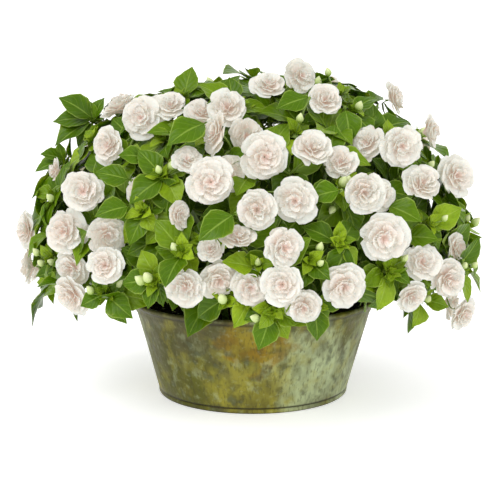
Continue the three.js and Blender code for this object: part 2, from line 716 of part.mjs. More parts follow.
const near = NEAR_BLOOMS.map(nearBloom);
const bunches = gathered([...near, ...farBlooms(near)].map(placeBloom));

const nearStems = NEAR_STEMS.map((rows, k) => rows.map((row, i) => nearShoot(row, 1000 + 100 * k + 20 * i)));
const bearing = ({ tip }) => Math.atan2(tip.x, tip.y);
const backShoots = farShoots(nearStems.flat()).sort((a, b) => bearing(a) - bearing(b));
const share = Math.ceil(backShoots.length / FAR_SHOOTS.stems);
const shares = Array.from({ length: FAR_SHOOTS.stems }, (_, k) => [k * share, (k + 1) * share]);
const farStems = shares.map(([from, to]) => backShoots.slice(from, to));

// Each stem stands upright in its hole, leans out to its hub and branches there to its shoots.
const trunks = [...nearStems, ...farStems].map((shoots) => {
  const { x, y, z } = mean(shoots.map((shoot) => shoot.tip));
  const foot = point(x * FORK.foot, y * FORK.foot, SOIL.edge - STEM.depth);
  const collar = point(foot.x, foot.y, SOIL.crown + STEM.collar);
  const high = FORK.level + FORK.climb * Math.max(z - FORK.level, 0);
  const hub = point(x * FORK.hub, y * FORK.hub, high);
  const top = sum(hub, [hub.clone().sub(collar).normalize(), FORK.sunk]);
  const wide = STEM.foot + STEM.slack;
  const trunk = {
    solids: [tube([foot, collar, top], [STEM.foot, STEM.foot, STEM.hub], STEM.sides)],
    hole: tube([sum(foot, [UP, -GAP]), collar], [wide, wide], STEM.sides),
  };
  stand(trunk, trunk.solids[0]);
  for (const shoot of shoots) Object.assign(shoot, { trunk, hub });
  return trunk;
});
const shoots = [...nearStems, ...farStems].flat();
shoots.forEach(placeBranch);
for (const { seat } of bunches) placeStalk(seat, shoots);
shoots.forEach(placeWhorls);

function mesh(name, made, material) {
  const { vertProperties, triVerts } = made.getMesh();
  const geometry = new THREE.BufferGeometry();
  geometry.setAttribute("position", new THREE.BufferAttribute(vertProperties, 3));
  geometry.setIndex(new THREE.BufferAttribute(triVerts, 1));
  const piece = new THREE.Mesh(geometry, material);
  piece.name = name;
  return piece;
}

const numbered = (word, k) => word + "_" + String(k + 1).padStart(2, "0");

const plant = new THREE.Group();
plant.name = "busy_lizzie";
plant.add(mesh("tub", tub, ZINC));
plant.add(mesh("potting_mix", soilSolid(trunks.map((trunk) => trunk.hole)), MIX));
trunks.forEach(({ solids }, k) => plant.add(mesh(numbered("leafy_stem", k), joined(solids), GREEN)));
bunches.forEach(({ solids }, k) => plant.add(mesh(numbered("bloom_bunch", k), joined(solids), PETAL)));

export default plant;
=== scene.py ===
import functools
import math

import bpy
import numpy as np
from bpy.props import FloatProperty, FloatVectorProperty, IntProperty, PointerProperty
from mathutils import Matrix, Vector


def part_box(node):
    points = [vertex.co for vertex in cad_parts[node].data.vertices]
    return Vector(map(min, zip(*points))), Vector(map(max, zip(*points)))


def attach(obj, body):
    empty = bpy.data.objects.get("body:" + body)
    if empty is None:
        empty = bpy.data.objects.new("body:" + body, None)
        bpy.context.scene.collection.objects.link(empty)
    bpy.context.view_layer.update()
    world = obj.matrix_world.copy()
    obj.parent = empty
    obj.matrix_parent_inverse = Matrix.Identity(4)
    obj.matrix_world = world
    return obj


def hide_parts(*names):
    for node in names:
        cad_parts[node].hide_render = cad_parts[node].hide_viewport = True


bl_info = {
    "name": "Busy Lizzie in a Zinc Tub",
    "version": (1, 0, 0),
    "blender": (4, 5, 0),
    "location": "View3D > Sidebar > Busy Lizzie",
    "description": "A double busy lizzie in full bloom, with its leaves, buds and weathered tub",
    "category": "Add Mesh",
}

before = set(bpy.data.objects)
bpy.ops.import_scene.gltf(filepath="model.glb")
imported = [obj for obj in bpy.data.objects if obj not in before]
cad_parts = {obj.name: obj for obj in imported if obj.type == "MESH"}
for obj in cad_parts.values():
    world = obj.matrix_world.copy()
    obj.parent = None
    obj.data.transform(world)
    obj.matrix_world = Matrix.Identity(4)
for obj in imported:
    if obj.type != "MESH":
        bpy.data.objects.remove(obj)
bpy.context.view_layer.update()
MM = 0.001
GOLDEN_TURN = math.pi * (3 - math.sqrt(5))
TUB_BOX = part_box("tub")
STEM_NODES = sorted(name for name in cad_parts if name.startswith("leafy_stem"))
BUNCH_NODES = sorted(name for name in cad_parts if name.startswith("bloom_bunch"))
HEART = np.array([0, 0, 0.1])  # deep in the plant; shoots grow away from it
JOIN = 1e-5  # corners nearer to each other than this are one point
FOLDED = -0.5  # cosine between the two faces at the thin edge of a leaf or petal
SPIKE = 190  # degrees that the face angles round a leaf's tip stay under
SHORTEST_LEAF = 5 * MM
SEAT_SPREAD = 3.5 * MM  # how far the seat of a leaf reaches round its shoot
SWELL = 2.6 * MM  # radius of the swollen joint that bears a whorl
JOINT_REACH = 1.6 * SWELL
LOOP_POINTS = 12  # the fewest points on a bloom's widest edge
LOBED = 0.92  # mean radius of that edge as a share of the bloom's radius

# ---------------------------------------------------------------------------
# Reading the frame
# ---------------------------------------------------------------------------


def solid_of(name):
    """Points and triangles of a frame node, with the corners that lie together joined."""
    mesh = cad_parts[name].data
    points = np.empty(len(mesh.vertices) * 3, np.float32)
    mesh.vertices.foreach_get("co", points)
    points = points.reshape(-1, 3).astype(float)
    faces = np.empty(len(mesh.loops), np.int32)
    mesh.loops.foreach_get("vertex_index", faces)
    keys = np.round(points / JOIN).astype(np.int64)
    _, first, back = np.unique(keys, axis=0, return_index=True, return_inverse=True)
    faces = back.ravel()[faces].reshape(-1, 3)
    whole = (faces != np.roll(faces, 1, axis=1)).all(axis=1)
    return points[first], faces[whole]


def unit(vectors):
    """Each vector divided by its length."""
    return vectors / np.maximum(np.linalg.norm(vectors, axis=-1, keepdims=True), 1e-12)


def sides_of(faces):
    """The three edges of every triangle, as pairs of points."""
    return np.concatenate([faces[:, [0, 1]], faces[:, [1, 2]], faces[:, [2, 0]]])


def thin_edges(points, faces):
    """Edges whose two faces point nearly opposite ways, as at the margin of a leaf or petal."""
    corner = points[faces]
    normal = unit(np.cross(corner[:, 1] - corner[:, 0], corner[:, 2] - corner[:, 0]))
    edges = np.sort(sides_of(faces), axis=1)
    face = np.tile(np.arange(len(faces)), 3)
    order = np.lexsort((edges[:, 1], edges[:, 0]))
    edges, face = edges[order], face[order]
    pair = np.nonzero((edges[1:] == edges[:-1]).all(axis=1))[0]
    bend = (normal[face[pair]] * normal[face[pair + 1]]).sum(axis=1)
    return edges[pair][bend < FOLDED]


def islands(count, edges):
    """Number of the connected group that each point belongs to, by passing on the lowest number."""
    group = np.arange(count)
    while True:
        low = group.copy()
        np.minimum.at(low, edges[:, 0], group[edges[:, 1]])
        np.minimum.at(low, edges[:, 1], group[edges[:, 0]])
        low = low[low]
        if (low == group).all():
            return group
        group = low


def corner_angles(points, faces):
    """Sum of the face angles round each point, in degrees: small where the solid is a thin spike."""
    total = np.zeros(len(points))
    for turn in range(3):
        here, left, right = (points[faces[:, (turn + k) % 3]] for k in range(3))
        cosine = (unit(left - here) * unit(right - here)).sum(axis=1)
        np.add.at(total, faces[:, turn], np.degrees(np.arccos(np.clip(cosine, -1, 1))))
    return total


def neighbours_of(faces):
    """For each point, the points that share an edge with it."""
    pairs = sides_of(faces)
    pairs = np.unique(np.concatenate([pairs, pairs[:, ::-1]]), axis=0)
    cuts = np.searchsorted(pairs[:, 0], np.arange(pairs.max() + 2))
    return [pairs[a:b, 1] for a, b in zip(cuts[:-1], cuts[1:])]


def read_leafy_stem(name):
    """The bare stem of a node, and tip, foot, left and right shoulder of each of its leaves.

    A leaf's tip is a spike whose far neighbours lie close together on the stem: they are its seat.
    Leaves that share a seat are a whorl and have its middle as their foot. A leaf's rim is the chain
    of thin edges through its tip, and the rims drawn in to the joints leave the stem bare.
    """
    points, faces = solid_of(name)
    near = neighbours_of(faces)
    leaves, links = [], []
    for tip in np.nonzero(corner_angles(points, faces) < SPIKE)[0]:
        others = near[tip]
        distance = np.linalg.norm(points[others] - points[tip], axis=1)
        seat = others[distance > 0.8 * distance.max()]
        spread = np.linalg.norm(points[seat] - points[seat].mean(axis=0), axis=1).max()
        if distance.max() < SHORTEST_LEAF or len(seat) < 2 or spread > SEAT_SPREAD:
            continue
        leaves.append((tip, seat[0], *others[np.argsort(distance)[:2]]))
        links.append(np.stack([np.full(len(seat) - 1, seat[0]), seat[1:]], axis=1))
    tip, seat, left, right = np.array(leaves).T
    whorl = islands(len(points), np.concatenate(links))
    foot = np.zeros((len(tip), 3))
    for group in np.unique(whorl[seat]):
        foot[whorl[seat] == group] = points[whorl == group].mean(axis=0)
    reach = np.linalg.norm(points[:, None] - foot[None], axis=2).min(axis=1)
    edges = thin_edges(points, faces)
    edges = edges[(reach[edges] > JOINT_REACH).all(axis=1)]
    rim = islands(len(points), edges)
    joint = np.full((len(points), 3), np.nan)
    joint[rim[tip]] = foot
    joint = joint[rim]
    on_rim = ~np.isnan(joint[:, 0])
    bare = points.copy()
    bare[on_rim] = joint[on_rim] + unit(points[on_rim] - joint[on_rim]) * SWELL
    return {
        "points": bare,
        "faces": faces,
        "tip": points[tip],
        "foot": foot,
        "left": points[left],
        "right": points[right],
    }


def read_bunch(name):
    """Centre, face, radius and turn of each bloom of a node, and the knot where its stalks meet.

    A bloom's widest edge is a closed loop of thin edges with five notches; its face is the direction
    in which that loop is flattest, towards the side with more points.
    """
    points, faces = solid_of(name)
    edges = thin_edges(points, faces)
    group = islands(len(points), edges)
    blooms = []
    for number in np.unique(group[edges[:, 0]]):
        loop = points[group == number]
        if len(loop) < LOOP_POINTS:
            continue
        reach = np.linalg.norm(loop - loop.mean(axis=0), axis=1)
        loop = loop[reach > 0.55 * reach.max()]
        centre = loop.mean(axis=0)
        axis = np.linalg.svd(loop - centre)[2][2]
        reach = np.linalg.norm(loop - centre, axis=1)
        radius = reach.mean() / LOBED
        offset = points - centre
        height = offset[np.linalg.norm(offset, axis=1) < 0.95 * radius] @ axis
        if (height > 0.2 * radius).sum() < (height < -0.2 * radius).sum():
            axis = -axis
        first, second = across_axes(axis)
        notch = loop[np.argsort(reach)[:5]] - centre
        angle = np.arctan2(notch @ second, notch @ first)
        turn = np.angle(np.exp(5j * angle).mean()) / 5
        blooms.append(np.concatenate([centre, axis, [radius, turn]]))
    blooms = np.array(blooms)
    gap = np.linalg.norm(points[:, None] - blooms[None, :, :3], axis=2) / blooms[None, :, 6]
    loose = gap.min(axis=1) > 1.15
    return {"blooms": blooms, "knot": points[loose].mean(axis=0) if loose.any() else None}


def across_axes(axis):
    """Two directions square to axis and to each other."""
    helper = np.where(np.abs(axis[..., 2:]) < 0.9, [0.0, 0.0, 1.0], [0.0, 1.0, 0.0])
    first = unit(np.cross(helper, axis))
    return first, np.cross(axis, first)


def heading(first, second, angle):
    """Directions at an angle from first towards second."""
    return first * np.cos(angle)[..., None] + second * np.sin(angle)[..., None]


@functools.lru_cache(maxsize=None)
def plant():
    """The whole plant as read from the frame: stems, bunches, and what all of them hold together."""
    stems = {name: read_leafy_stem(name) for name in STEM_NODES}
    bunches = {name: read_bunch(name) for name in BUNCH_NODES}
    return {
        "stems": stems,
        "bunches": bunches,
        "wood": np.concatenate([stem["points"] for stem in stems.values()]),
        "feet": np.concatenate([stem["foot"] for stem in stems.values()]),
        "blooms": np.concatenate([bunch["blooms"] for bunch in bunches.values()]),
    }


# ---------------------------------------------------------------------------
# Surfaces
# ---------------------------------------------------------------------------


def surface_part(points, faces, each, uv=None, rim=None):
    """What make_piece joins: points, arrays of faces, points of one repeat, surface map and rim."""
    return {
        "points": points,
        "faces": faces,
        "each": each,
        "uv": np.zeros((len(points), 2)) if uv is None else uv,
        "rim": np.zeros(len(points), bool) if rim is None else rim,
        "tone": np.zeros(len(points)),
        "material": 0,
    }


def repeated(faces, count, size):
    """The faces of one shape with that many points, for each of its copies."""
    return (faces[None] + (np.arange(count) * size)[:, None, None]).reshape(-1, faces.shape[1])


def quads(here, after):
    """Faces between each point, the one after it in its row, and the same two in the next row."""
    return np.stack([here[:-1], after[:-1], after[1:], here[1:]], axis=-1).reshape(-1, 4)


def fan(pole, here, after):
    """Triangles between a pole, each point of a ring and the one after it."""
    return np.stack([np.full(len(here), pole), here, after], axis=-1)


def thin_shells(grid, thickness):
    """Closed thin sheets from grids of points, shape (sheets, rows, columns, 3).

    The front is the grid. The back is the grid moved against its normal by the thickness, and both
    share the outer edge, so that each sheet is closed and thins out to its edge. The rim stays sharp.
    """
    count, rows, columns = grid.shape[:3]
    normal = unit(np.cross(np.gradient(grid, axis=2), np.gradient(grid, axis=1)))
    back = (grid - normal * thickness)[:, 1:-1, 1:-1]
    points = np.concatenate([grid.reshape(count, -1, 3), back.reshape(count, -1, 3)], axis=1)
    size = points.shape[1]
    front = np.arange(rows * columns).reshape(rows, columns)
    behind = front.copy()
    behind[1:-1, 1:-1] = np.arange(rows * columns, size).reshape(rows - 2, columns - 2)
    faces = [quads(front[:, :-1], front[:, 1:]), quads(behind[:, :-1], behind[:, 1:])[:, ::-1]]
    along, across = np.linspace(0, 1, rows), np.linspace(0, 1, columns)
    flat = np.stack(np.meshgrid(along, across, indexing="ij"), axis=-1)
    spread = np.concatenate([flat.reshape(-1, 2), flat[1:-1, 1:-1].reshape(-1, 2)])
    rim = np.zeros(size, bool)
    rim[front[front == behind]] = True
    faces = [repeated(np.concatenate(faces), count, size)]
    return surface_part(points.reshape(-1, 3), faces, size, np.tile(spread, (count, 1)), np.tile(rim, count))


def tubes(paths, radii, sides):
    """Closed round tubes: a ring of the given radius is carried along each path, ends closed.

    paths has the shape (tubes, steps, 3) and radii (tubes, steps). Each ring stands square to the
    path there.
    """
    count, steps = paths.shape[:2]
    forward = unit(np.gradient(paths, axis=1))
    helper = across_axes(unit(paths[:, -1] - paths[:, 0]))[0][:, None]
    side = unit(np.cross(forward, np.broadcast_to(helper, forward.shape)))
    up = np.cross(side, forward)
    angle = np.linspace(0, 2 * np.pi, sides, endpoint=False)
    ring = side[:, :, None] * np.cos(angle)[:, None] + up[:, :, None] * np.sin(angle)[:, None]
    body = (paths[:, :, None] + ring * radii[:, :, None, None]).reshape(count, -1, 3)
    points = np.concatenate([body, paths[:, :1], paths[:, -1:]], axis=1)
    size = points.shape[1]
    number = np.arange(steps * sides).reshape(steps, sides)
    after = np.roll(number, -1, axis=1)
    wall = np.roll(quads(number, after)[:, ::-1], 1, axis=1)
    ends = np.concatenate([fan(size - 2, number[0], after[0]), fan(size - 1, after[-1], number[-1])])
    along = np.repeat(np.linspace(0, 1, steps), sides)
    around = np.tile(np.linspace(0, 1, sides), steps)
    spread = np.concatenate([np.stack([along, around], axis=-1), [[0, 0.5], [1, 0.5]]])
    faces = [repeated(wall, count, size), repeated(ends, count, size)]
    return surface_part(points.reshape(-1, 3), faces, size, np.tile(spread, (count, 1)))


def turned(profile, sides, sway=None):
    """A profile of (radius, height) turned round the upright axis, closed at both ends by a point.

    sway, if given, takes angle and height and returns how far the wall stands out there.
    """
    angle = np.linspace(0, 2 * np.pi, sides, endpoint=False)
    radius, height = profile[1:-1, :1], profile[1:-1, 1:]
    radius = radius + (sway(angle[None], height) if sway else 0 * angle)
    wall = (radius * np.cos(angle), radius * np.sin(angle), np.repeat(height, sides, axis=1))
    body = np.stack(wall, axis=-1).reshape(-1, 3)
    number = np.arange(radius.size).reshape(radius.shape)
    after = np.roll(number, -1, axis=1)
    points = np.concatenate([body, [[0, 0, profile[0, 1]], [0, 0, profile[-1, 1]]]])
    size = len(points)
    ends = np.concatenate([fan(size - 2, after[0], number[0]), fan(size - 1, number[-1], after[-1])])
    return surface_part(points, [quads(number, after), ends], size)


def lumps(centres, sizes, turn):
    """Small closed pebbles: an eight-sided double pyramid on each centre, squashed and turned."""
    corner = np.array([[1, 0, 0], [0, 1, 0], [-1, 0, 0], [0, -1, 0], [0, 0, 0.8], [0, 0, -0.8]])
    ring = np.arange(4)
    after = np.roll(ring, -1)
    faces = np.concatenate([fan(4, ring, after), fan(5, after, ring)])
    cosine, sine = np.cos(turn)[:, None], np.sin(turn)[:, None]
    x, y, z = (corner[None, :, k] * sizes[:, k, None] for k in range(3))
    shape = np.stack([x * cosine - y * sine, x * sine + y * cosine, z], axis=-1)
    points = (centres[:, None] + shape).reshape(-1, 3)
    return surface_part(points, [repeated(faces, len(centres), len(corner))], len(corner))


def toned(part, values, material=0):
    """The part with one tone for each of its repeats, and the number of its material."""
    part["tone"] = np.repeat(values, part["each"])
    part["material"] = material
    return part


def mesh_of(name, parts):
    """One smooth mesh from several parts, with their surface map and tone, and sharp rims."""
    points, spread, tone, rim = (
        np.concatenate([part[key] for part in parts]) for key in ("points", "uv", "tone", "rim")
    )
    corners, sizes, numbers = [], [], []
    shift = 0
    for part in parts:
        for faces in part["faces"]:
            corners.append((faces + shift).ravel())
            sizes.append(np.full(len(faces), faces.shape[1]))
            numbers.append(np.full(len(faces), part["material"]))
        shift += len(part["points"])
    corners, sizes, numbers = (np.concatenate(x).astype(np.int32) for x in (corners, sizes, numbers))
    mesh = bpy.data.meshes.new(name)
    mesh.vertices.add(len(points))
    mesh.vertices.foreach_set("co", points.astype(np.float32).ravel())
    mesh.loops.add(len(corners))
    mesh.loops.foreach_set("vertex_index", corners)
    mesh.polygons.add(len(sizes))
    mesh.polygons.foreach_set("loop_start", (np.cumsum(sizes) - sizes).astype(np.int32))
    mesh.polygons.foreach_set("material_index", numbers)
    mesh.polygons.foreach_set("use_smooth", np.ones(len(sizes), bool))
    surface = mesh.uv_layers.new(name="surface")
    surface.data.foreach_set("uv", spread[corners].astype(np.float32).ravel())
    mesh.attributes.new("tone", "FLOAT", "POINT").data.foreach_set("value", tone.astype(np.float32))
    mesh.update(calc_edges=True)
    ends = np.empty(len(mesh.edges) * 2, np.int32)
    mesh.edges.foreach_get("vertices", ends)
    sharp = rim[ends.reshape(-1, 2)].all(axis=1)
    mesh.attributes.new("sharp_edge", "BOOLEAN", "EDGE").data.foreach_set("value", sharp)
    if mesh.validate():
        raise RuntimeError(f"{name} has faulty faces")
    return mesh


def make_piece(name, parts, materials, replaced=()):
    """One object from several parts, which rides on the root and stands for the replaced nodes."""
    mesh = mesh_of(name, parts)
    for material in materials:
        mesh.materials.append(material)
    piece = bpy.data.objects.new(name, mesh)
    bpy.context.scene.collection.objects.link(piece)
    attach(piece, "root")
    for node in replaced:
        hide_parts(node)
    return piece


# ---------------------------------------------------------------------------
# Leaves, petals and buds
# ---------------------------------------------------------------------------


PETIOLE = 0.13  # share of a leaf's length
PETIOLE_HALF = 0.7 * MM
TIP_HALF = 0.2 * MM
TOOTH = 0.03  # how far the teeth stand out and in, as a share of the half width
RIPPLE = 0.035  # height of the waves along the margin, as a share of the length
LENGTHS = (0.010, 0.022, 0.036, 0.055)
BREADTHS = (0.72, 1.12, 1.0, 0.9)  # how broad leaves of these lengths are, next to one another


def leaf_blades(foot, tip, left, right, size, chance, rows=11):
    """Leaf blades from their foot, tip and the two points of their widest part.

    Across the blade runs from left to right shoulder, up is square to it. Along s from 0 to 1 the
    midrib is the line from foot to tip, raised by arch * sin(pi * s ** 1.1). The half width is a thin
    petiole first, and then width * sin(pi * s ** 0.74) ** 0.86 * (1 - 0.4 * s ** 4) along the blade,
    widest below its middle and drawn out to the tip, with small teeth. The two halves fold up from
    the midrib, and a sine wave ripples their margins.
    """
    s = np.linspace(0, 1, rows)
    t = np.linspace(-1, 1, 5)
    length = np.linalg.norm(tip - foot, axis=1)
    along = unit(tip - foot)
    across = right - left
    across = unit(across - (across * along).sum(axis=1, keepdims=True) * along)
    up = np.cross(across, along)
    facing = (up * (0.5 * unit(foot - HEART) + [0, 0, 1])).sum(axis=1)
    sign = np.where(facing < 0, -1.0, 1.0)[:, None]
    across, up = across * sign, up * sign
    blade = np.clip((s - PETIOLE) / (1 - PETIOLE), 0, 1)
    shape = np.sin(np.pi * blade ** 0.74) ** 0.86 * (1 - 0.4 * blade ** 4)
    teeth = 1 + TOOTH * np.where(np.arange(rows) % 2 == 0, 1, -1)
    broad = np.interp(length, LENGTHS, BREADTHS)[:, None]
    half = np.maximum(size.leaf_width * broad * length[:, None] * shape * teeth, PETIOLE_HALF)
    half[:, -1] = TIP_HALF
    arch = size.leaf_arch * length * chance.uniform(0.6, 1.5, len(foot))
    fold = size.leaf_fold * chance.uniform(0.4, 1.3, len(foot))
    wave = chance.uniform(0, 2 * np.pi, len(foot))[:, None]
    ripple = RIPPLE * length[:, None] * np.sin(3.2 * np.pi * s + wave) * np.sin(np.pi * s)
    height = arch[:, None, None] * np.sin(np.pi * s ** 1.1)[None, :, None]
    height = height + fold[:, None, None] * np.abs(t) * half[:, :, None]
    height = height + ripple[:, :, None] * np.sign(t) * np.abs(t) ** 1.5
    place = foot[:, None, None] + along[:, None, None] * (length[:, None, None] * s[None, :, None])[..., None]
    place = place + across[:, None, None] * (half[:, :, None] * t)[..., None]
    return thin_shells(place + up[:, None, None] * height[..., None], size.leaf_thickness)


def leaves_of(blades, size, chance, rows=11):
    """Leaf blades from a list of (foot, tip, left, right), each an array with a row for each leaf."""
    return leaf_blades(*(np.concatenate(x) for x in zip(*blades)), size, chance, rows)


HEART_GAP = 0.03  # where the petals begin, as a share of the bloom's radius
PETAL_LEAN = 0.065  # how far one side of a petal rises over the next
PETAL_CURL = 0.09  # how far the sides of the outer petals fall back
PETAL_RINGS = (
    # petals, reach, half angle, back, lip, climb, ruffle, turn
    (5, 1.07, 0.86, -0.30, 0.02, 0.50, 0.045, 0.0),
    (5, 0.90, 0.84, -0.29, 0.14, 0.50, 0.050, 34.0),
    (5, 0.72, 0.82, -0.26, 0.26, 0.55, 0.055, 10.0),
    (5, 0.50, 0.86, -0.14, 0.36, 0.70, 0.060, 50.0),
    (4, 0.30, 1.05, 0.05, 0.41, 0.80, 0.060, 20.0),
)


def petals(blooms, size, chance):
    """Petals of double blooms, ring within ring.

    In shares of the bloom's radius, a petal is a sector of its half angle round the bloom's axis. It
    runs out from the heart to its reach while it climbs from back to lip as s ** climb. Its end is
    rounded by 1 - sqrt(1 - |t| ** 3) and notched in the middle, ruffle * sin(...) waves it, more
    towards the edge, and a lean raises one side over the next petal. Inner petals stray more.
    """
    s = np.array([0.0, 0.26, 0.52, 0.76, 0.92, 1.0])[:, None]
    t = np.sin(np.linspace(-np.pi / 2, np.pi / 2, 9))[None]
    rounded = 1 - np.sqrt(1 - 0.98 * np.abs(t) ** 3)
    n = len(blooms)
    centre, face, scale, own_turn = blooms[:, :3], blooms[:, 3:6], blooms[:, 6], blooms[:, 7]
    centre, scale, own_turn = centre[:, None, None], scale[:, None, None, None], own_turn[:, None, None]
    first, second, face = (axis[:, None, None] for axis in (*across_axes(face), face))
    shut = 0.30 * chance.random((n, 1, 1)) ** 2
    parts = []
    for number, (count, reach, half, back, lip, climb, ruffle, turn) in enumerate(PETAL_RINGS):
        stray = 1 + 0.35 * number
        for petal in range(count):
            vary = chance.uniform(-1, 1, (9, n, 1, 1))
            far = reach * (1 + 0.10 * stray * vary[0]) * (1 - 0.6 * shut)
            notch = (0.06 + 0.06 * vary[3]) * np.exp(-(((t - 0.3 * vary[2]) / 0.26) ** 2))
            end = (0.36 + 0.12 * vary[2]) * rounded + notch
            rho = HEART_GAP + (far - HEART_GAP) * s * (1 - s ** 2 * end)
            angle = half * (1 + 0.12 * vary[1]) * (0.62 + 0.38 * s) * (1 - 0.14 * s ** 6) * t
            climbs = lip + 0.05 * stray * vary[4] + shut * (1 - 0.15 * number) - back
            crest = np.sin((4 + vary[1]) * t + 3.1 * vary[5])
            crest = crest + 0.6 * np.sin((8 + vary[8]) * t + 3.1 * vary[6])
            wave = ruffle * (1.1 + 0.5 * vary[7]) * s ** 2.5 * (0.5 + 0.5 * np.abs(t)) * crest
            wave = wave + PETAL_LEAN * s * t - PETAL_CURL * (number < 2) * s ** 2 * t ** 2
            slope = climbs * climb * np.maximum(s, 0.2) ** (climb - 1)
            norm = np.sqrt(slope ** 2 + far ** 2)
            rho = np.maximum(rho - wave * slope / norm, 0.01)
            height = back + climbs * s ** climb + wave * far / norm
            bearing = own_turn + math.radians(turn + 360 * petal / count) + 0.14 * stray * vary[6] - angle
            place = rho[..., None] * heading(first, second, bearing) + height[..., None] * face
            part = thin_shells(centre + scale * place, size.petal_thickness)
            parts.append(toned(part, number / 4 * 0.7 + 0.3 * chance.random(n)))
    return parts


def bowed(start, end, lift, steps):
    """Curves from start to end whose middle is moved by lift: start and end weighted with (1 - s)
    squared and s squared, the middle with 2 * s * (1 - s)."""
    s = np.linspace(0, 1, steps)[None, :, None]
    middle = (start + end) / 2 + lift
    return (1 - s) ** 2 * start[:, None] + 2 * s * (1 - s) * middle[:, None] + s ** 2 * end[:, None]


def stalks(start, end, lift, radius, steps, sides):
    """Round stalks of one radius along bowed curves, in the second material of their piece."""
    radii = np.full((len(start), steps), radius)
    return toned(tubes(bowed(start, end, lift, steps), radii, sides), np.zeros(len(start)), 1)


def nearest(points, cloud):
    """For each point the closest point of the cloud, and its distance."""
    gap = np.linalg.norm(points[:, None] - cloud[None], axis=2)
    best = gap.argmin(axis=1)
    return cloud[best], gap[np.arange(len(points)), best]


def bud_shapes(centres, axes, lengths):
    """Egg-shaped buds: half width = 0.38 * length * sin(pi * s ** 0.8) ** 0.85 * (1 - 0.15 * s)."""
    s = np.linspace(0.01, 0.995, 8)
    paths = centres[:, None] + axes[:, None] * (lengths[:, None] * (s - 0.5))[..., None]
    radii = 0.38 * lengths[:, None] * (np.sin(np.pi * s ** 0.8) ** 0.85 * (1 - 0.15 * s))[None]
    return tubes(paths, radii, 8)


# ---------------------------------------------------------------------------
# Materials
# ---------------------------------------------------------------------------


def group_with(name, inputs, outputs):
    """An empty shader node group. inputs has the default of each input, None for a vector."""
    group = bpy.data.node_groups.new(name, "ShaderNodeTree")
    for label, default in inputs.items():
        kind = "NodeSocketVector" if default is None else "NodeSocketFloat"
        socket = group.interface.new_socket(name=label, in_out="INPUT", socket_type=kind)
        if default is not None:
            socket.default_value = default
    for label in outputs:
        group.interface.new_socket(name=label, in_out="OUTPUT", socket_type="NodeSocketFloat")
    return group, add(group, "NodeGroupInput").outputs


def add(tree, kind, links=None, **settings):
    """A node in the tree with its settings, and its inputs linked or set from links."""
    node = tree.nodes.new(kind)
    for key, value in settings.items():
        setattr(node, key, value)
    for key, value in (links or {}).items():
        if isinstance(value, bpy.types.NodeSocket):
            tree.links.new(value, node.inputs[key])
        else:
            node.inputs[key].default_value = value
    return node


def calc(tree, operation, first, second=0.0):
    """The result of a sum on two values, or on the first alone."""
    return add(tree, "ShaderNodeMath", {0: first, 1: second}, operation=operation).outputs[0]


def ramp(tree, value, low, high, kind="LINEAR"):
    """How far the value is from low to high, as a mask from 0 to 1."""
    links = {"Value": value, "From Min": low, "From Max": high}
    return add(tree, "ShaderNodeMapRange", links, interpolation_type=kind).outputs["Result"]


def soft_ramp(tree, value, low, high):
    """A ramp that starts and ends gently."""
    return ramp(tree, value, low, high, "SMOOTHSTEP")


@functools.lru_cache(maxsize=None)
def mottle():
    """Node group: patches of noise between two limits, as a mask from 0 to 1."""
    inputs = {"Vector": None, "Scale": 20.0, "Detail": 4.0, "Low": 0.4, "High": 0.6}
    group, inside = group_with("mottle", inputs, ["Mask"])
    links = {key: inside[key] for key in ("Vector", "Scale", "Detail")}
    noise = add(group, "ShaderNodeTexNoise", links).outputs["Fac"]
    add(group, "NodeGroupOutput", {"Mask": soft_ramp(group, noise, inside["Low"], inside["High"])})
    return group


@functools.lru_cache(maxsize=None)
def veins():
    """Node group: a midrib, slanting side veins and the margin of a blade, from its surface map.

    Swell is highest halfway between two side veins and falls to the veins and the midrib.
    """
    inputs = {"Surface": None, "Pairs": 7.0, "Slant": 0.55, "Width": 0.06}
    group, inside = group_with("veins", inputs, ["Midrib", "Side veins", "Margin", "Swell"])
    split = add(group, "ShaderNodeSeparateXYZ", {0: inside["Surface"]}).outputs
    off = calc(group, "ABSOLUTE", calc(group, "SUBTRACT", split["Y"], 0.5))
    step = calc(group, "SUBTRACT", split["X"], scaled(group, off, inside["Slant"]))
    saw = calc(group, "PINGPONG", scaled(group, step, inside["Pairs"]), 1.0)
    room = soft_ramp(group, off, 0.0, 0.12)
    add(group, "NodeGroupOutput", {
        "Midrib": soft_ramp(group, off, inside["Width"], 0.0),
        "Side veins": soft_ramp(group, saw, 0.86, 1.0),
        "Margin": ramp(group, off, 0.45, 0.485),
        "Swell": scaled(group, calc(group, "SUBTRACT", 1.0, saw), room),
    })
    return group


@functools.lru_cache(maxsize=None)
def stain():
    """Node group: a ragged round stain about a centre, as a mask from 0 to 1."""
    inputs = {"Vector": None, "Centre": None, "Radius": 0.03, "Ragged": 0.03, "Scale": 40.0}
    group, inside = group_with("stain", inputs, ["Mask"])
    ends = {0: inside["Vector"], 1: inside["Centre"]}
    gap = add(group, "ShaderNodeVectorMath", ends, operation="DISTANCE").outputs["Value"]
    links = {"Vector": inside["Vector"], "Scale": inside["Scale"], "Detail": 5.0}
    noise = add(group, "ShaderNodeTexNoise", links).outputs["Fac"]
    push = scaled(group, calc(group, "SUBTRACT", noise, 0.5), inside["Ragged"])
    core = scaled(group, inside["Radius"], 0.45)
    mask = soft_ramp(group, calc(group, "ADD", gap, push), inside["Radius"], core)
    add(group, "NodeGroupOutput", {"Mask": mask})
    return group


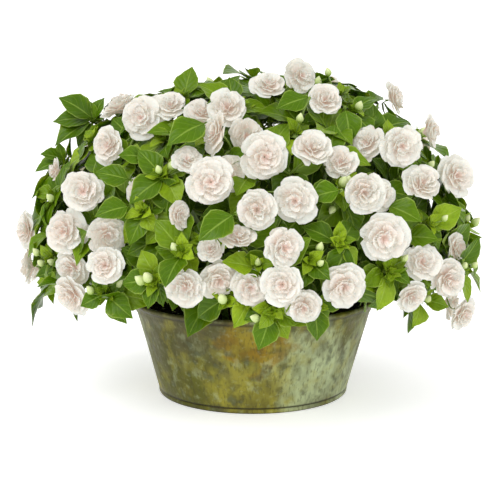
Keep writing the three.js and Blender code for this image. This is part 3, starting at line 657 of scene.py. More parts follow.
def new_material(name, scatter=(0.0, (1.0, 0.2, 0.1), 0.05), **constants):
    """A material and its node tree, with scatter (weight, radius, scale) and other constants set."""
    material = bpy.data.materials.new(name)
    material.use_nodes = True
    inputs = material.node_tree.nodes["Principled BSDF"].inputs
    for key, value in zip(("Weight", "Radius", "Scale"), scatter):
        inputs["Subsurface " + key].default_value = value
    for key, value in constants.items():
        inputs[key.replace("_", " ")].default_value = value
    return material, material.node_tree


def finished(material, colour, height=None, distance=0.0, strength=1.0):
    """The material with its colour linked and, if there is a height, a bump."""
    tree = material.node_tree
    inputs = tree.nodes["Principled BSDF"].inputs
    tree.links.new(colour, inputs["Base Color"])
    if height is not None:
        bump = add(tree, "ShaderNodeBump", {"Height": height, "Distance": distance, "Strength": strength})
        tree.links.new(bump.outputs["Normal"], inputs["Normal"])
    return material


def patches(tree, where, scale, low, high, detail=4.0):
    """Mask of the mottle group at that place."""
    links = {"Vector": where, "Scale": scale, "Detail": detail, "Low": low, "High": high}
    return add(tree, "ShaderNodeGroup", links, node_tree=mottle()).outputs["Mask"]


def blend(tree, mask, first, second):
    """Colour that goes from first to second with the mask."""
    links = {0: mask}
    for key, colour in ((6, first), (7, second)):
        links[key] = colour if isinstance(colour, bpy.types.NodeSocket) else (*colour[:3], 1.0)
    return add(tree, "ShaderNodeMix", links, data_type="RGBA").outputs[2]


def scaled(tree, value, factor):
    """The value times the factor."""
    return calc(tree, "MULTIPLY", value, factor)


def laid_on(tree, base, mask, amount, colour):
    """The base with that amount of the colour laid on where the mask is."""
    return blend(tree, scaled(tree, mask, amount), base, colour)


def object_place(tree):
    """Object coordinates."""
    return add(tree, "ShaderNodeTexCoord").outputs["Object"]


def stretched(tree, where, factors):
    """Coordinates times a factor for each axis."""
    return add(tree, "ShaderNodeVectorMath", {0: where, 1: factors}, operation="MULTIPLY").outputs[0]


def tone_of(tree):
    """The tone that each leaf, petal or crumb was given."""
    return add(tree, "ShaderNodeAttribute", attribute_name="tone").outputs["Fac"]


def surface_map(tree):
    """A piece's own surface map: along, across."""
    return add(tree, "ShaderNodeUVMap", uv_map="surface").outputs["UV"]


def along_map(tree):
    """How far along its petal or bud a point lies, from 0 to 1."""
    return add(tree, "ShaderNodeSeparateXYZ", {0: surface_map(tree)}).outputs["X"]


@functools.lru_cache(maxsize=None)
def leaf_material():
    """Leaf: fresh to deep green by the leaf's tone, deepest where the tone paints shade on leaves deep in the
    plant; lighter veins and margin, a soft shine.
    """
    colour = bpy.context.scene.busy_lizzie_foliage
    scatter = (0.1, (0.004, 0.006, 0.001), 0.6)
    material, tree = new_material("leaf", scatter, Roughness=0.3, Specular_IOR_Level=0.14)
    links = {"Surface": surface_map(tree), "Pairs": 11.0, "Slant": 0.75, "Width": 0.05}
    vein = add(tree, "ShaderNodeGroup", links, node_tree=veins()).outputs
    place = object_place(tree)
    tone = tone_of(tree)
    base = blend(tree, ramp(tree, tone, 0.0, 0.5), colour.shaded_leaf, colour.grown_leaf)
    base = blend(tree, ramp(tree, tone, 0.5, 1.0), base, colour.young_leaf)
    base = laid_on(tree, base, patches(tree, place, 45.0, 0.3, 0.7), 0.45, colour.grown_leaf)
    base = laid_on(tree, base, patches(tree, place, 420.0, 0.3, 0.7), 0.16, colour.shaded_leaf)
    for mask, amount in (("Side veins", 0.15), ("Midrib", 0.42), ("Margin", 0.5)):
        base = laid_on(tree, base, vein[mask], amount, colour.vein)
    relief = calc(tree, "SUBTRACT", vein["Swell"], vein["Midrib"])
    return finished(material, base, relief, 0.3 * MM, 0.8)


@functools.lru_cache(maxsize=None)
def stem_material():
    """Stem: juicy pale green, with darker flecks and a satin skin."""
    colour = bpy.context.scene.busy_lizzie_foliage
    material, tree = new_material("stem", (0.15, (0.002, 0.003, 0.001), 0.5), Roughness=0.4)
    fleck = patches(tree, object_place(tree), 240.0, 0.45, 0.7)
    base = blend(tree, fleck, colour.stem, blend(tree, 0.5, colour.stem, colour.grown_leaf))
    return finished(material, base, fleck, 0.2 * MM, 0.5)


@functools.lru_cache(maxsize=None)
def petal_material():
    """Petal: white with a breath of pink towards the heart, crinkled along its length.

    The faint glow stands for the light that comes through the thin petals.
    """
    colour = bpy.context.scene.busy_lizzie_blooms
    scatter = (0.35, (0.006, 0.004, 0.003), 0.5)
    glow = {"Emission_Strength": 0.13, "Emission_Color": (1.0, 0.96, 0.72, 1.0)}
    material, tree = new_material("petal", scatter, Roughness=0.6, Specular_IOR_Level=0.25, **glow)
    tone = tone_of(tree)
    links = {0: stretched(tree, surface_map(tree), (2.0, 9.0, 1.0)), 1: scaled(tree, tone, 17.0)}
    drawn = add(tree, "ShaderNodeVectorMath", links, operation="ADD").outputs[0]
    crinkle = patches(tree, drawn, 1.1, 0.25, 0.75, 3.0)
    patch = patches(tree, object_place(tree), 55.0, 0.35, 0.65)
    base = blend(tree, scaled(tree, tone, patch), colour.petal, colour.blush)
    base = blend(tree, ramp(tree, along_map(tree), 0.6, 0.0), base, colour.heart)
    return finished(material, base, crinkle, 0.9 * MM, 0.6)


@functools.lru_cache(maxsize=None)
def bud_material():
    """Bud: pale green at the foot, turning cream and white towards the tip."""
    colour = bpy.context.scene.busy_lizzie_blooms
    material, tree = new_material("bud", (0.2, (0.004, 0.004, 0.002), 0.5), Roughness=0.45)
    base = blend(tree, ramp(tree, along_map(tree), 0.15, 0.85), colour.bud, colour.bud_tip)
    patch = patches(tree, object_place(tree), 120.0, 0.35, 0.65)
    return finished(material, blend(tree, patch, base, blend(tree, 0.3, base, colour.bud)))


@functools.lru_cache(maxsize=None)
def soil_material():
    """Potting mix: dark brown crumbs, with bits of lighter bark."""
    colour = bpy.context.scene.busy_lizzie_mix
    material, tree = new_material("potting_mix", Roughness=0.95, Specular_IOR_Level=0.2)
    place = object_place(tree)
    crumb = patches(tree, place, 260.0, 0.35, 0.65)
    base = blend(tree, crumb, colour.peat, colour.crumb)
    base = blend(tree, patches(tree, place, 90.0, 0.56, 0.62), base, colour.bark)
    base = blend(tree, tone_of(tree), base, colour.perlite)
    return finished(material, base, crumb, 1.5 * MM)


STAINS_AND_SHADE = (
    # centre and radius in mm, amount, colour
    ((-85, -95, 80), 64, 0.85, "zinc"),
    ((-64, -85, 22), 60, 0.85, "olive"),
    ((-96, -56, 46), 48, 0.70, "olive"),
    ((-80, -70, 52), 30, 0.40, "shadow"),
    ((0, -104, 26), 52, 0.80, "yellow"),
    ((10, -98, 8), 42, 0.85, "yellow"),
    ((64, -84, 40), 62, 0.85, "celadon"),
    ((104, -60, 50), 40, 0.80, "celadon"),
    ((-20, -114, 80), 26, 0.75, "ochre"),
    ((14, -114, 68), 21, 0.75, "ochre"),
    ((-4, -112, 58), 14, 0.70, "ochre"),
    # Painted shade: darkens the tub's right side, turned away from the key light.
    ((112, -22, 60), 70, 0.45, "olive"),
)
CLOUDS = (
    # stretched down the wall, scale, low, high, detail, amount, colour
    (False, 55.0, 0.48, 0.66, 9.0, 0.50, "yellow"),
    (False, 62.0, 0.56, 0.68, 8.0, 0.40, "celadon"),
    (False, 36.0, 0.46, 0.76, 10.0, 0.60, "shadow"),
    (False, 88.0, 0.50, 0.70, 10.0, 0.60, "shadow"),
    (False, 90.0, 0.58, 0.70, 6.0, 0.35, "fleck"),
    (True, 110.0, 0.40, 0.70, 9.0, 0.35, "shadow"),
    (True, 420.0, 0.50, 0.72, 6.0, 0.60, "shadow"),
    (False, 240.0, 0.54, 0.74, 8.0, 0.18, "celadon"),
)


@functools.lru_cache(maxsize=None)
def zinc_material():
    """Weathered zinc: grey and olive skin, ochre, yellow and celadon stains, flecks, streaks and grain, and
    painted shade on its right side.

    The skin darkens in the seam over the foot bead and at the very foot, and a dark band of painted shade
    lies under the rim.
    """
    colour = bpy.context.scene.busy_lizzie_tub
    material, tree = new_material("weathered_zinc", Specular_IOR_Level=0.17)
    place = object_place(tree)
    streaks = stretched(tree, place, (1.0, 1.0, 0.22))
    base = blend(tree, patches(tree, place, 19.0, 0.40, 0.60, 5.0), colour.zinc, colour.olive)
    base = blend(tree, patches(tree, place, 24.0, 0.52, 0.66, 7.0), base, colour.yellow)
    base = blend(tree, patches(tree, place, 15.0, 0.53, 0.64, 7.0), base, colour.celadon)
    for centre, radius, amount, name in STAINS_AND_SHADE:
        links = {"Vector": place, "Centre": np.array(centre) * MM, "Radius": radius * MM, "Ragged": 0.10}
        mask = add(tree, "ShaderNodeGroup", links, node_tree=stain()).outputs["Mask"]
        base = laid_on(tree, base, mask, amount, getattr(colour, name))
    for drawn, scale, low, high, detail, amount, name in CLOUDS:
        mask = patches(tree, streaks if drawn else place, scale, low, high, detail)
        base = laid_on(tree, base, mask, amount, getattr(colour, name))
    height = add(tree, "ShaderNodeSeparateXYZ", {0: place}).outputs["Z"]
    under_roll = colour.height - 2.2 * colour.bead
    # Seam colour in bands over the foot bead and at the very foot; the band under the rolled rim is painted
    # shade.
    for level, width, amount in ((5.6 * MM, 1.3 * MM, 0.95), (0.0, 1.8 * MM, 0.9), (under_roll, 3 * MM, 0.8)):
        off = calc(tree, "ABSOLUTE", calc(tree, "SUBTRACT", height, level))
        base = laid_on(tree, base, ramp(tree, off, width, 0.0), amount, colour.seam)
    worn = {"Value": patches(tree, place, 60.0, 0.3, 0.7, 5.0), "To Min": 0.36, "To Max": 0.62}
    rough = add(tree, "ShaderNodeMapRange", worn).outputs["Result"]
    tree.links.new(rough, tree.nodes["Principled BSDF"].inputs["Roughness"])
    return finished(material, base, patches(tree, place, 160.0, 0.3, 0.75, 9.0), 0.4 * MM, 0.6)


def plain_material(name, colour, roughness):
    """Plain stage finish with a faint unevenness, lit a little from behind like a light table."""
    glow = {"Emission_Strength": 0.45, "Emission_Color": (1, 1, 1, 1)}
    material, tree = new_material(name, Roughness=roughness, **glow)
    faint = patches(tree, object_place(tree), 3.0, 0.3, 0.7)
    return finished(material, blend(tree, faint, colour, [0.985 * c for c in colour[:3]]))


# ---------------------------------------------------------------------------
# Sizes and colours
# ---------------------------------------------------------------------------


def length(name, description, default):
    """A length in metres."""
    return FloatProperty(
        name=name, description=description, default=default, subtype="DISTANCE", unit="LENGTH",
    )


def share(name, description, default):
    """A plain share or count."""
    return FloatProperty(name=name, description=description, default=default)


def tint(name, description, default):
    """A colour."""
    return FloatVectorProperty(
        name=name, description=description, default=default, size=3, subtype="COLOR", min=0, max=1,
    )


class BusyLizzieTub(bpy.types.PropertyGroup):
    """Sizes and colours of the tub."""
    height: length("Height", "Height of the tub", TUB_BOX[1][2] - TUB_BOX[0][2])
    rim_radius: length("Rim radius", "Radius over the rolled rim", (TUB_BOX[1][0] - TUB_BOX[0][0]) / 2)
    base_radius: length("Base radius", "Radius at the foot", 0.094)
    wall: length("Wall", "Thickness of the zinc wall", 0.0016)
    bead: length("Bead", "Radius of the rolled rim", 0.0024)
    dent: length("Dents", "How far the wall waves in and out", 0.0006)
    zinc: tint("Zinc", "Bare weathered zinc", (0.110, 0.102, 0.043))
    olive: tint("Olive", "Olive film", (0.103, 0.105, 0.008))
    ochre: tint("Ochre", "Ochre stains", (0.26, 0.155, 0.006))
    yellow: tint("Yellow", "Yellow-green stains", (0.30, 0.272, 0.032))
    celadon: tint("Celadon", "Pale grey-green stains", (0.41, 0.475, 0.26))
    shadow: tint("Brown", "Brown clouding and streaks", (0.060, 0.053, 0.013))
    fleck: tint("Fleck", "Blue-grey flecks", (0.10, 0.14, 0.095))
    # Also painted shade in a band under the rolled rim.
    seam: tint("Seam", "Dirt in the seams", (0.018, 0.015, 0.008))


class BusyLizzieMix(bpy.types.PropertyGroup):
    """Sizes and colours of the potting mix."""
    crown: length("Crown", "How far the mix rises from its edge to its middle", 0.0035)
    crumbs: IntProperty(name="Crumbs", description="Loose crumbs on the mix", default=900)
    peat: tint("Peat", "Peat between the crumbs", (0.030, 0.019, 0.012))
    crumb: tint("Crumb", "Crumbs of peat", (0.085, 0.056, 0.035))
    bark: tint("Bark", "Bits of bark", (0.16, 0.10, 0.055))
    perlite: tint("Perlite", "Pale grains", (0.55, 0.53, 0.48))


class BusyLizzieFoliage(bpy.types.PropertyGroup):
    """Sizes and colours of stems and leaves."""
    leaf_width: share("Leaf width", "Half width of a leaf as a share of its length", 0.345)
    leaf_arch: share("Leaf arch", "How far the midrib arches, as a share of the length", 0.07)
    leaf_fold: share("Leaf fold", "How steeply the halves rise from the midrib", 0.28)
    leaf_thickness: length("Leaf thickness", "Thickness of a leaf in its middle", 0.0006)
    fillers: IntProperty(name="Side shoots", description="Leafy side shoots inside the plant", default=420)
    rim_room: length("Room at the rim", "Radius round the tub's rim that side shoots leave free", 0.165)
    petiole: length("Side shoot radius", "Radius of a side shoot", 0.0011)
    loose_shoot: length("Loose shoot radius", "Radius of a loose shoot", 0.0015)
    tufts: share("Tufts", "Share of the whorls that carry a tuft of young leaves", 0.65)
    tuft_leaf: length("Tuft leaf", "Length of the young leaves at a shoot's end", 0.013)
    # Painted shade for leaves deep inside the plant, and the darkest of the leaves' own random tones.
    shaded_leaf: tint("Shaded green", "Old leaves inside the plant", (0.014, 0.037, 0.001))
    grown_leaf: tint("Grown green", "Grown leaves", (0.073, 0.152, 0.001))
    young_leaf: tint("Young green", "Young leaves", (0.33, 0.47, 0.016))
    vein: tint("Veins", "Midrib, veins and margin", (0.33, 0.46, 0.075))
    stem: tint("Stem", "Stems", (0.17, 0.26, 0.035))


class BusyLizzieBlooms(bpy.types.PropertyGroup):
    """Sizes and colours of blooms and buds."""
    petal_thickness: length("Petal thickness", "Thickness of a petal in its middle", 0.0004)
    stalk: length("Stalk radius", "Radius of a bloom's stalk", 0.0009)
    bud_length: length("Bud length", "Length of a bud", 0.011)
    petal: tint("Petal", "Petals", (0.603, 0.595, 0.558))
    blush: tint("Blush", "Pink breath on the petals", (0.66, 0.57, 0.53))
    heart: tint("Heart", "Depth of the bloom", (0.74, 0.47, 0.43))
    bud: tint("Bud", "Foot of a bud", (0.30, 0.43, 0.07))
    bud_tip: tint("Bud tip", "Tip of a bud", (0.64, 0.69, 0.38))


class BusyLizzieStage(bpy.types.PropertyGroup):
    """Floor, light and camera."""
    aim: FloatVectorProperty(
        name="Aim", description="Point the camera looks at", default=(-0.003, 0.0, 0.1415),
        subtype="TRANSLATION",
    )
    distance: length("Distance", "Distance of the camera", 1.2)
    elevation: FloatProperty(
        name="Elevation", description="Camera angle above level", default=math.radians(9), subtype="ANGLE",
    )
    focal: share("Focal length", "Focal length in millimetres", 86.4)
    floor: tint("Floor", "Pale floor", (0.93, 0.93, 0.93))
    key: FloatProperty(name="Key light", description="Power of the main light", default=26.0, unit="POWER")
    fill: FloatProperty(name="Fill light", description="Power of the fill light", default=10.0, unit="POWER")
    sky: share("Sky", "Strength of the even light all round", 0.73)


# ---------------------------------------------------------------------------
# Operators
# ---------------------------------------------------------------------------


SEEDS = {
    "mix": 11, "leaves": 5, "inner_leaves": 8, "loose_shoots": 31,
    "young_leaves": 14, "blooms": 3, "buds": 21,
}


class BUSYLIZZIE_OT_tub(bpy.types.Operator):
    """Make the weathered tub with its rolled rim, step and foot bead"""
    bl_idname = "busylizzie.tub"
    bl_label = "Tub"

    def execute(self, context):
        size = context.scene.busy_lizzie_tub
        base, top, bead, wall = size.base_radius, size.height, size.bead, size.wall
        rim = size.rim_radius - bead
        underside = 0.9 * MM
        foot_bead = 2.5 * MM

        def cone(share_of_height, stand_out=0.0):
            """Radius of the straight wall at a share of the height, with what stands out, and the height."""
            z = share_of_height * top
            return np.stack(np.broadcast_arrays(base + (rim - base) / top * z + stand_out, z), axis=-1)

        def arc(radius, height, wide, high, first, last, steps):
            """An arc of an ellipse about a point, between two angles in degrees."""
            turn = np.radians(np.linspace(first, last, steps))
            return np.stack([radius + wide * np.cos(turn), height + high * np.sin(turn)], axis=1)

        # Underside, foot bead and the seam over it, wall, step, rolled rim, inner wall and floor.
        profile = np.concatenate([
            [[0, underside], [0.5 * base, underside], [base - 3 * MM, underside], [base - 2 * MM, 0]],
            arc(base - 0.6 * MM, foot_bead, 1.8 * MM, foot_bead, -90, 90, 9),
            [[cone(0.05)[0] - 0.6 * MM, 0.051 * top]],
            cone(np.linspace(0.055, 0.86, 14)),
            cone(np.array([0.885, 0.9, 0.93]), np.array([0.9, 0.5, 0.1]) * MM),
            arc(rim, top - bead, bead, bead, -70, 215, 14),
            cone(np.linspace(0.93, 0.04, 12), -wall),
            [[0.6 * base, 0.03 * top], [0, 0.03 * top]],
        ])

        def sway(angle, z):
            """Three waves round the wall, which grow from the foot and are halved on the rim."""
            wave = np.sin(3 * angle + 1.1) + 0.6 * np.sin(5 * angle + 40 * z)
            wave = wave + 0.4 * np.sin(11 * angle - 60 * z + 2)
            return size.dent * wave * np.clip(z / top, 0, 1) * np.where(z > 0.95 * top, 0.5, 1)

        make_piece("zinc_tub", [turned(profile, 192, sway)], [zinc_material()], ["tub"])
        return {"FINISHED"}


class BUSYLIZZIE_OT_potting_mix(bpy.types.Operator):
    """Make the crumbly potting mix"""
    bl_idname = "busylizzie.potting_mix"
    bl_label = "Potting mix"

    def execute(self, context):
        size = context.scene.busy_lizzie_mix
        low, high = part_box("potting_mix")
        radius = (high[0] - low[0]) / 2
        chance = np.random.default_rng(SEEDS["mix"])
        shares = np.linspace(1, 0, 30)
        profile = np.concatenate([
            [[0, low[2]], [0.72 * radius, low[2]], [0.82 * radius, low[2] + MM]],
            np.stack([radius * shares, high[2] - size.crown * shares ** 2], axis=1)[:-1],
            [[0, high[2]]],
        ])
        body = turned(profile, 96)
        points = body["points"]
        upper = points[:, 2] > high[2] - size.crown + 0.1 * MM
        x, y = (points[upper, :2] / MM).T
        rough = np.sin(0.31 * x + 1) * np.cos(0.27 * y)
        rough = rough + 0.7 * np.sin(0.72 * x - 0.5 * y) * np.cos(0.61 * y + 2)
        points[upper, 2] += 0.9 * MM * (rough - 1.2)
        count = size.crumbs
        rho = (radius - 4 * MM) * np.sqrt(chance.random(count))
        angle = chance.uniform(0, 2 * np.pi, count)
        height = high[2] - size.crown * (rho / radius) ** 2 - 0.3 * MM
        centres = np.stack([rho * np.cos(angle), rho * np.sin(angle), height], axis=1)
        crumbs = lumps(centres, chance.uniform(0.8, 2.6, (count, 3)) * MM, chance.uniform(0, np.pi, count))
        toned(crumbs, (chance.random(count) > 0.93).astype(float))
        make_piece("crumbly_mix", [body, crumbs], [soil_material()], ["potting_mix"])
        return {"FINISHED"}


class BUSYLIZZIE_OT_stems(bpy.types.Operator):
    """Make the juicy stems with their swollen joints"""
    bl_idname = "busylizzie.stems"
    bl_label = "Stems"

    def execute(self, context):
        for name, stem in plant()["stems"].items():
            part = surface_part(stem["points"], [stem["faces"]], len(stem["points"]))
            piece_name = name.replace("leafy_stem", "stem")
            piece = make_piece(piece_name, [part], [stem_material()], [name])
            smooth = piece.modifiers.new("rounded", "SUBSURF")
            smooth.levels = smooth.render_levels = 1
        return {"FINISHED"}


class BUSYLIZZIE_OT_leaves(bpy.types.Operator):
    """Make the toothed leaves in their whorls"""
    bl_idname = "busylizzie.leaves"
    bl_label = "Leaves"

    def execute(self, context):
        size = context.scene.busy_lizzie_foliage
        chance = np.random.default_rng(SEEDS["leaves"])
        for name, stem in plant()["stems"].items():
            blades = leaf_blades(*(stem[key] for key in ("foot", "tip", "left", "right")), size, chance)
            toned(blades, 0.35 + 0.6 * chance.random(len(stem["tip"])) ** 1.8)
            piece_name = name.replace("leafy_stem", "leaves")
            make_piece(piece_name, [blades], [leaf_material()], [name])
        return {"FINISHED"}


INNER_MOUND = {"middle": np.array([0, 0, 0.145]), "across": 0.215, "rise": 0.178, "drop": 0.085}
INNER_DEPTHS = {0.010: 0.14, 0.020: 0.26, 0.034: 0.30, 0.052: 0.30}  # below the mound, and its share
INNER_RISE = (0.97, -0.55)  # from near the mound's crown down to its hem, as shares
INNER_REACH = (0.026, 0.042)  # shortest and longest leaf
WOOD_REACH = 0.075  # the farthest that a side shoot starts from a stem


def clear_of_blooms(foot, tip):
    """Which leaves stay out of every bloom: three places along each, against a flat ellipsoid."""
    blooms = plant()["blooms"]
    centre, axis, radius = blooms[None, :, :3], blooms[None, :, 3:6], blooms[:, 6]
    clear = np.ones(len(foot), bool)
    for fraction in (0.3, 0.65, 1.0):
        offset = (foot + (tip - foot) * fraction)[:, None] - centre
        height = (offset * axis).sum(axis=2)
        flat = np.linalg.norm(offset - height[..., None] * axis, axis=2)
        clear &= ((flat / (LOBED * radius)) ** 2 + (height / (0.5 * radius)) ** 2 >= 1).all(axis=1)
    return clear


class BUSYLIZZIE_OT_inner_leaves(bpy.types.Operator):
    """Make the leafy side shoots that fill the plant between its blooms"""
    bl_idname = "busylizzie.inner_leaves"
    bl_label = "Inner leaves"

    def execute(self, context):
        size = context.scene.busy_lizzie_foliage
        chance = np.random.default_rng(SEEDS["inner_leaves"])
        middle, across = INNER_MOUND["middle"], INNER_MOUND["across"]
        turn = GOLDEN_TURN * np.arange(size.fillers)
        rise = np.linspace(*INNER_RISE, size.fillers)
        level = np.sqrt(1 - rise ** 2)
        half = np.where(rise > 0, INNER_MOUND["rise"], INNER_MOUND["drop"])
        axes = np.stack([np.full_like(rise, across), np.full_like(rise, across), half], axis=1)
        surface = middle + np.stack([level * np.cos(turn), level * np.sin(turn), rise], axis=1) * axes
        depth = chance.choice(list(INNER_DEPTHS), size.fillers, p=list(INNER_DEPTHS.values()))
        normal = unit((surface - middle) / axes ** 2)
        hearts = surface - normal * depth[:, None]
        wood, gap = nearest(hearts, plant()["wood"])
        rim_top, rim_radius = TUB_BOX[1][2], TUB_BOX[1][0]
        over_rim = (hearts[:, 2] < rim_top + 12 * MM) & (np.hypot(hearts[:, 0], hearts[:, 1]) < size.rim_room)
        keep = (gap < WOOD_REACH) & ~over_rim
        hearts, wood, normal, depth = hearts[keep], wood[keep], normal[keep], depth[keep]
        count = len(hearts)
        shoots = stalks(wood, hearts, normal * 4 * MM + [0, 0, 4 * MM], size.petiole, 5, 5)
        first, second = across_axes(normal)
        blades = []
        for number in range(4):
            angle = number * np.pi / 2 + chance.uniform(-0.5, 0.5, count) + np.arange(count)
            lean = chance.uniform(0.1, 0.8, count)[:, None]
            way = unit(heading(first, second, angle) + normal * lean - [0, 0, 0.25])
            tip = hearts + way * chance.uniform(*INNER_REACH, count)[:, None]
            width = unit(np.cross(way, normal))
            blades.append((hearts, tip, hearts - width, hearts + width))
        foot, tip, left, right = (np.concatenate(x) for x in zip(*blades))
        beyond = np.maximum(np.hypot(tip[:, 0], tip[:, 1]) - rim_radius, 0)
        above_rim = tip[:, 2] > rim_top + 3 * MM + np.where(tip[:, 1] < -30 * MM, 0.22, 0) * beyond
        free = clear_of_blooms(foot, tip) & above_rim
        leaves = leaf_blades(foot[free], tip[free], left[free], right[free], size, chance, 8)
        # Painted shade: the deeper a leaf lies in the plant, the lower its tone and the darker its green.
        toned(leaves, 0.5 - 8.5 * np.tile(depth, 4)[free] + 0.28 * chance.random(int(free.sum())))
        make_piece("inner_leaves", [leaves, shoots], [leaf_material(), stem_material()])
        return {"FINISHED"}


LOOSE_SHOOTS = (
    # pixels across and down, how much nearer than the axis, then degrees and length in mm of each leaf
    (94, 120, 0.020, (152, 40), (188, 40), (222, 46), (100, 20), (55, 24), (262, 34)),
    (64, 160, 0.030, (200, 30), (242, 36), (150, 24), (105, 18)),
    (147, 158, 0.160, (165, 25)),
    (131, 180, 0.165, (170, 31)),
    (131, 206, 0.180, (212, 32)),
    (208, 122, 0.162, (221, 44)),
    (236, 213, 0.218, (216, 40)),
    (214, 291, 0.150, (247, 48)),
    (395, 139, 0.118, (-62, 30)),
    (310, 97, 0.125, (200, 34)),
    (345, 107, 0.118, (-70, 34)),
    (385, 204, 0.158, (-18, 36)),
    (403, 237, 0.152, (-4, 31)),
    (348, 243, 0.202, (247, 36)),
    (342, 190, 0.196, (192, 28)),
    (176, 257, 0.196, (254, 38)),
)


class BUSYLIZZIE_OT_shoulder(bpy.types.Operator):
    """Make the loose shoots on the plant's left shoulder, and single leaves that lie over blooms"""
    bl_idname = "busylizzie.shoulder"
    bl_label = "Loose shoots"

    def execute(self, context):
        size = context.scene.busy_lizzie_foliage
        stage = context.scene.busy_lizzie_stage
        chance = np.random.default_rng(SEEDS["loose_shoots"])
        eye, right, up, ahead = camera_axes(stage)
        blades, hubs = [], []
        for across, down, near, *leaves in LOOSE_SHOOTS:
            ray = sight(stage, np.array([[across, down]]))
            hub = eye + ray * ((-near - eye[1]) / ray[0, 1])
            hubs.append(hub)
            facing = unit(0.8 * unit(hub - HEART) - ahead + 0.4 * up)
            for degrees, reach in leaves:
                way = heading(right, up, np.radians(degrees)) + 0.2 * chance.normal(0, 1, 3) - 0.2 * ahead
                way = unit(way)
                width = np.cross(way, facing) * MM
                blades.append((hub, hub + way * reach * MM, hub + width, hub - width))
        hubs = np.concatenate(hubs)
        leaves = leaves_of(blades, size, chance)
        toned(leaves, 0.3 + 0.25 * chance.random(len(blades)))
        wood = nearest(hubs - unit(hubs - HEART) * 0.05, plant()["wood"])[0]
        shoots = stalks(wood, hubs, np.array([[0, 0, 8 * MM]]), size.loose_shoot, 8, 6)
        make_piece("loose_shoots", [leaves, shoots], [leaf_material(), stem_material()])
        return {"FINISHED"}


TUFT_LEAVES = 5


class BUSYLIZZIE_OT_tufts(bpy.types.Operator):
    """Make the tufts of young leaves at the ends of the shoots"""
    bl_idname = "busylizzie.tufts"
    bl_label = "Young leaves"

    def execute(self, context):
        size = context.scene.busy_lizzie_foliage
        chance = np.random.default_rng(SEEDS["young_leaves"])
        hub = np.unique(np.round(plant()["feet"], 5), axis=0)
        hub = hub[chance.random(len(hub)) < size.tufts]
        count = len(hub)
        way = unit(hub - HEART)
        foot = hub + way * 1.5 * MM
        first, second = across_axes(way)
        blades = []
        for number in range(TUFT_LEAVES):
            angle = number * GOLDEN_TURN + chance.uniform(-0.3, 0.3, count) + np.arange(count)
            side = heading(first, second, angle)
            reach = size.tuft_leaf * (1.25 - 0.15 * number) * chance.uniform(0.7, 1.2, count)
            lean = 0.6 + 0.3 * number + chance.uniform(-0.2, 0.2, count)
            tip = foot + unit(side + way * lean[:, None]) * reach[:, None]
            width = np.cross(side, way) * MM
            blades.append((foot, tip, foot - width, foot + width))
        leaves = leaves_of(blades, size, chance, 6)
        toned(leaves, 0.6 + 0.4 * chance.random(TUFT_LEAVES * count))
        make_piece("young_leaves", [leaves], [leaf_material()])
        return {"FINISHED"}


class BUSYLIZZIE_OT_blooms(bpy.types.Operator):
    """Make the double blooms, petal by petal, on their stalks"""
    bl_idname = "busylizzie.blooms"
    bl_label = "Blooms"

    def execute(self, context):
        size = context.scene.busy_lizzie_blooms
        wood = plant()["wood"]
        chance = np.random.default_rng(SEEDS["blooms"])
        for name, bunch in plant()["bunches"].items():
            blooms, knot = bunch["blooms"], bunch["knot"]
            parts = petals(blooms, size, chance)
            face = blooms[:, 3:6]
            back = blooms[:, :3] - face * (0.36 * blooms[:, 6:7])
            seat = nearest(back, wood)[0] if knot is None else np.repeat(knot[None], len(back), axis=0)
            parts.append(stalks(back, seat, -face * 3 * MM, size.stalk, 6, 6))
            if knot is not None:
                parts.append(stalks(knot[None], nearest(knot[None], wood)[0], 0, 1.4 * MM, 3, 6))
            materials = [petal_material(), stem_material()]
            make_piece(name.replace("bloom_bunch", "blooms"), parts, materials, [name])
        return {"FINISHED"}


BUD_PIXELS = (
    # across and down in the picture of 500 by 500
    (36, 252), (155, 218), (158, 222), (328, 72), (258, 262), (332, 210), (320, 247), (420, 225), (445, 218),
    (475, 265), (140, 280), (90, 290), (120, 285), (172, 165), (255, 318), (295, 190), (190, 165), (255, 305),
    (250, 138), (300, 118), (405, 258),
)
FAR_BUDS = 40


class BUSYLIZZIE_OT_buds(bpy.types.Operator):
    """Make the buds on thin stalks from the nearest stem"""
    bl_idname = "busylizzie.buds"
    bl_label = "Buds"

    def execute(self, context):
        size = context.scene.busy_lizzie_blooms
        stage = context.scene.busy_lizzie_stage
        chance = np.random.default_rng(SEEDS["buds"])
        eye = camera_axes(stage)[0]
        ray = sight(stage, np.array(BUD_PIXELS, float))
        feet = plant()["feet"]
        offset = feet - eye
        along = offset @ ray.T
        gap = np.linalg.norm(offset[:, None] - along[..., None] * ray[None], axis=2)
        best = (gap + 0.25 * (along - along.min())).argmin(axis=0)
        centres = eye + ray * (along[best, np.arange(len(ray))] - 6 * MM)[:, None]
        far = feet[chance.choice(len(feet), FAR_BUDS, replace=False)]
        lean = unit(far - HEART) + chance.normal(0, 0.35, far.shape)
        centres = np.concatenate([centres, far + unit(lean) * 14 * MM])
        seats = np.concatenate([feet[best], far])
        axes = unit(centres - seats + [0, 0, 10 * MM])
        lengths = size.bud_length * chance.uniform(0.7, 1.15, len(centres))
        buds = toned(bud_shapes(centres, axes, lengths), chance.random(len(centres)))
        foot = centres - axes * (0.45 * lengths)[:, None]
        parts = [buds, stalks(seats, foot, 0, 0.7 * MM, 5, 5)]
        make_piece("buds", parts, [bud_material(), stem_material()])
        return {"FINISHED"}


def camera_axes(stage):
    """Where the camera stands, and its right, up and forward directions."""
    back = np.array([0, -math.cos(stage.elevation), math.sin(stage.elevation)])
    right = np.array([1.0, 0.0, 0.0])
    return np.array(stage.aim) + stage.distance * back, right, np.cross(back, right), -back


SENSOR = 36.0  # width of the camera's sensor in millimetres
PICTURE = 500  # pixels across and down


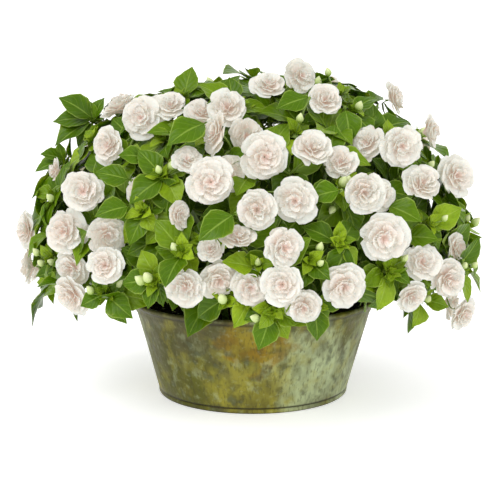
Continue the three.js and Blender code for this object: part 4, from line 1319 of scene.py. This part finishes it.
def sight(stage, pixels):
    """Directions from the camera through points of the picture, given in pixels across and down."""
    _, right, up, ahead = camera_axes(stage)
    across, down = ((pixels - PICTURE / 2) * (SENSOR / stage.focal / PICTURE)).T
    return unit(ahead + right * across[:, None] - up * down[:, None])


FLOOR_HALF = 2.0  # metres of level floor before and behind the tub
COVE = 1.2  # radius of its bend into the wall behind
WALL = 6.0  # how fast the last rows climb
FLOOR_ROWS = 40
LAMPS = (
    # name, place and width in metres
    ("key", (-0.9, -1.3, 1.6), 1.4),
    ("fill", (1.3, -1.0, 0.9), 1.6),
)


class BUSYLIZZIE_OT_stage(bpy.types.Operator):
    """Set up the pale floor, the soft lights and the camera"""
    bl_idname = "busylizzie.stage"
    bl_label = "Stage"

    def execute(self, context):
        scene = context.scene
        stage = scene.busy_lizzie_stage
        camera = bpy.data.objects.new("camera", bpy.data.cameras.new("camera"))
        camera.data.lens = stage.focal
        camera.data.sensor_width = SENSOR
        camera.location = camera_axes(stage)[0]
        camera.rotation_euler = (math.pi / 2 - stage.elevation, 0, 0)
        scene.collection.objects.link(camera)
        scene.camera = camera
        s = np.linspace(0, 1, FLOOR_ROWS)
        bend = np.clip((s - 0.5) / 0.2, 0, 1) * np.pi / 2
        run = np.where(s < 0.5, FLOOR_HALF * (4 * s - 1), FLOOR_HALF + COVE * np.sin(bend))
        lift = COVE * (1 - np.cos(bend)) + np.clip(s - 0.7, 0, 1) * WALL
        x = np.array([-4, 0, 4])
        grid = np.stack(np.broadcast_arrays(x[None], run[:, None], lift[:, None]), axis=-1).reshape(-1, 3)
        number = np.arange(len(grid)).reshape(FLOOR_ROWS, 3)
        faces = quads(number[:, :-1], number[:, 1:])
        mesh = bpy.data.meshes.new("floor")
        mesh.from_pydata(grid.tolist(), [], faces.tolist())
        mesh.polygons.foreach_set("use_smooth", np.ones(len(faces), bool))
        mesh.materials.append(plain_material("pale_floor", stage.floor, 0.9))
        floor = bpy.data.objects.new("floor", mesh)
        scene.collection.objects.link(floor)
        for name, place, width in LAMPS:
            lamp = bpy.data.lights.new(name, "AREA")
            lamp.size = width
            lamp.energy = getattr(stage, name)
            light = bpy.data.objects.new(name, lamp)
            light.location = place
            x, y, z = np.array(stage.aim) - np.array(place)
            light.rotation_euler = (math.atan2(math.hypot(x, y), -z), 0, math.atan2(-x, y))
            scene.collection.objects.link(light)
        world = bpy.data.worlds.new("even_light")
        world.use_nodes = True
        sky = world.node_tree.nodes["Background"].inputs
        sky["Color"].default_value = (1, 1, 1, 1)
        sky["Strength"].default_value = stage.sky
        scene.world = world
        scene.view_settings.view_transform = "Standard"
        return {"FINISHED"}


OPERATORS = (
    BUSYLIZZIE_OT_tub,
    BUSYLIZZIE_OT_potting_mix,
    BUSYLIZZIE_OT_stems,
    BUSYLIZZIE_OT_leaves,
    BUSYLIZZIE_OT_inner_leaves,
    BUSYLIZZIE_OT_shoulder,
    BUSYLIZZIE_OT_tufts,
    BUSYLIZZIE_OT_blooms,
    BUSYLIZZIE_OT_buds,
    BUSYLIZZIE_OT_stage,
)


class BUSYLIZZIE_PT_panel(bpy.types.Panel):
    """Pieces of the busy lizzie"""
    bl_label = "Busy Lizzie"
    bl_idname = "BUSYLIZZIE_PT_panel"
    bl_space_type = "VIEW_3D"
    bl_region_type = "UI"
    bl_category = "Busy Lizzie"

    def draw(self, context):
        for operator in OPERATORS:
            self.layout.operator(operator.bl_idname)


GROUPS = {
    "busy_lizzie_tub": BusyLizzieTub,
    "busy_lizzie_mix": BusyLizzieMix,
    "busy_lizzie_foliage": BusyLizzieFoliage,
    "busy_lizzie_blooms": BusyLizzieBlooms,
    "busy_lizzie_stage": BusyLizzieStage,
}


def register():
    """Register the classes and hang the sizes on the scene."""
    for cls in (*GROUPS.values(), *OPERATORS, BUSYLIZZIE_PT_panel):
        bpy.utils.register_class(cls)
    for name, group in GROUPS.items():
        setattr(bpy.types.Scene, name, PointerProperty(type=group))


def unregister():
    """Take the sizes off the scene and unregister the classes."""
    for name in GROUPS:
        delattr(bpy.types.Scene, name)
    for cls in reversed((*GROUPS.values(), *OPERATORS, BUSYLIZZIE_PT_panel)):
        bpy.utils.unregister_class(cls)


def main():
    """Make every piece in turn."""
    register()
    for operator in OPERATORS:
        group, _, call = operator.bl_idname.partition(".")
        getattr(getattr(bpy.ops, group), call)()


if __name__ == "__main__":
    main()
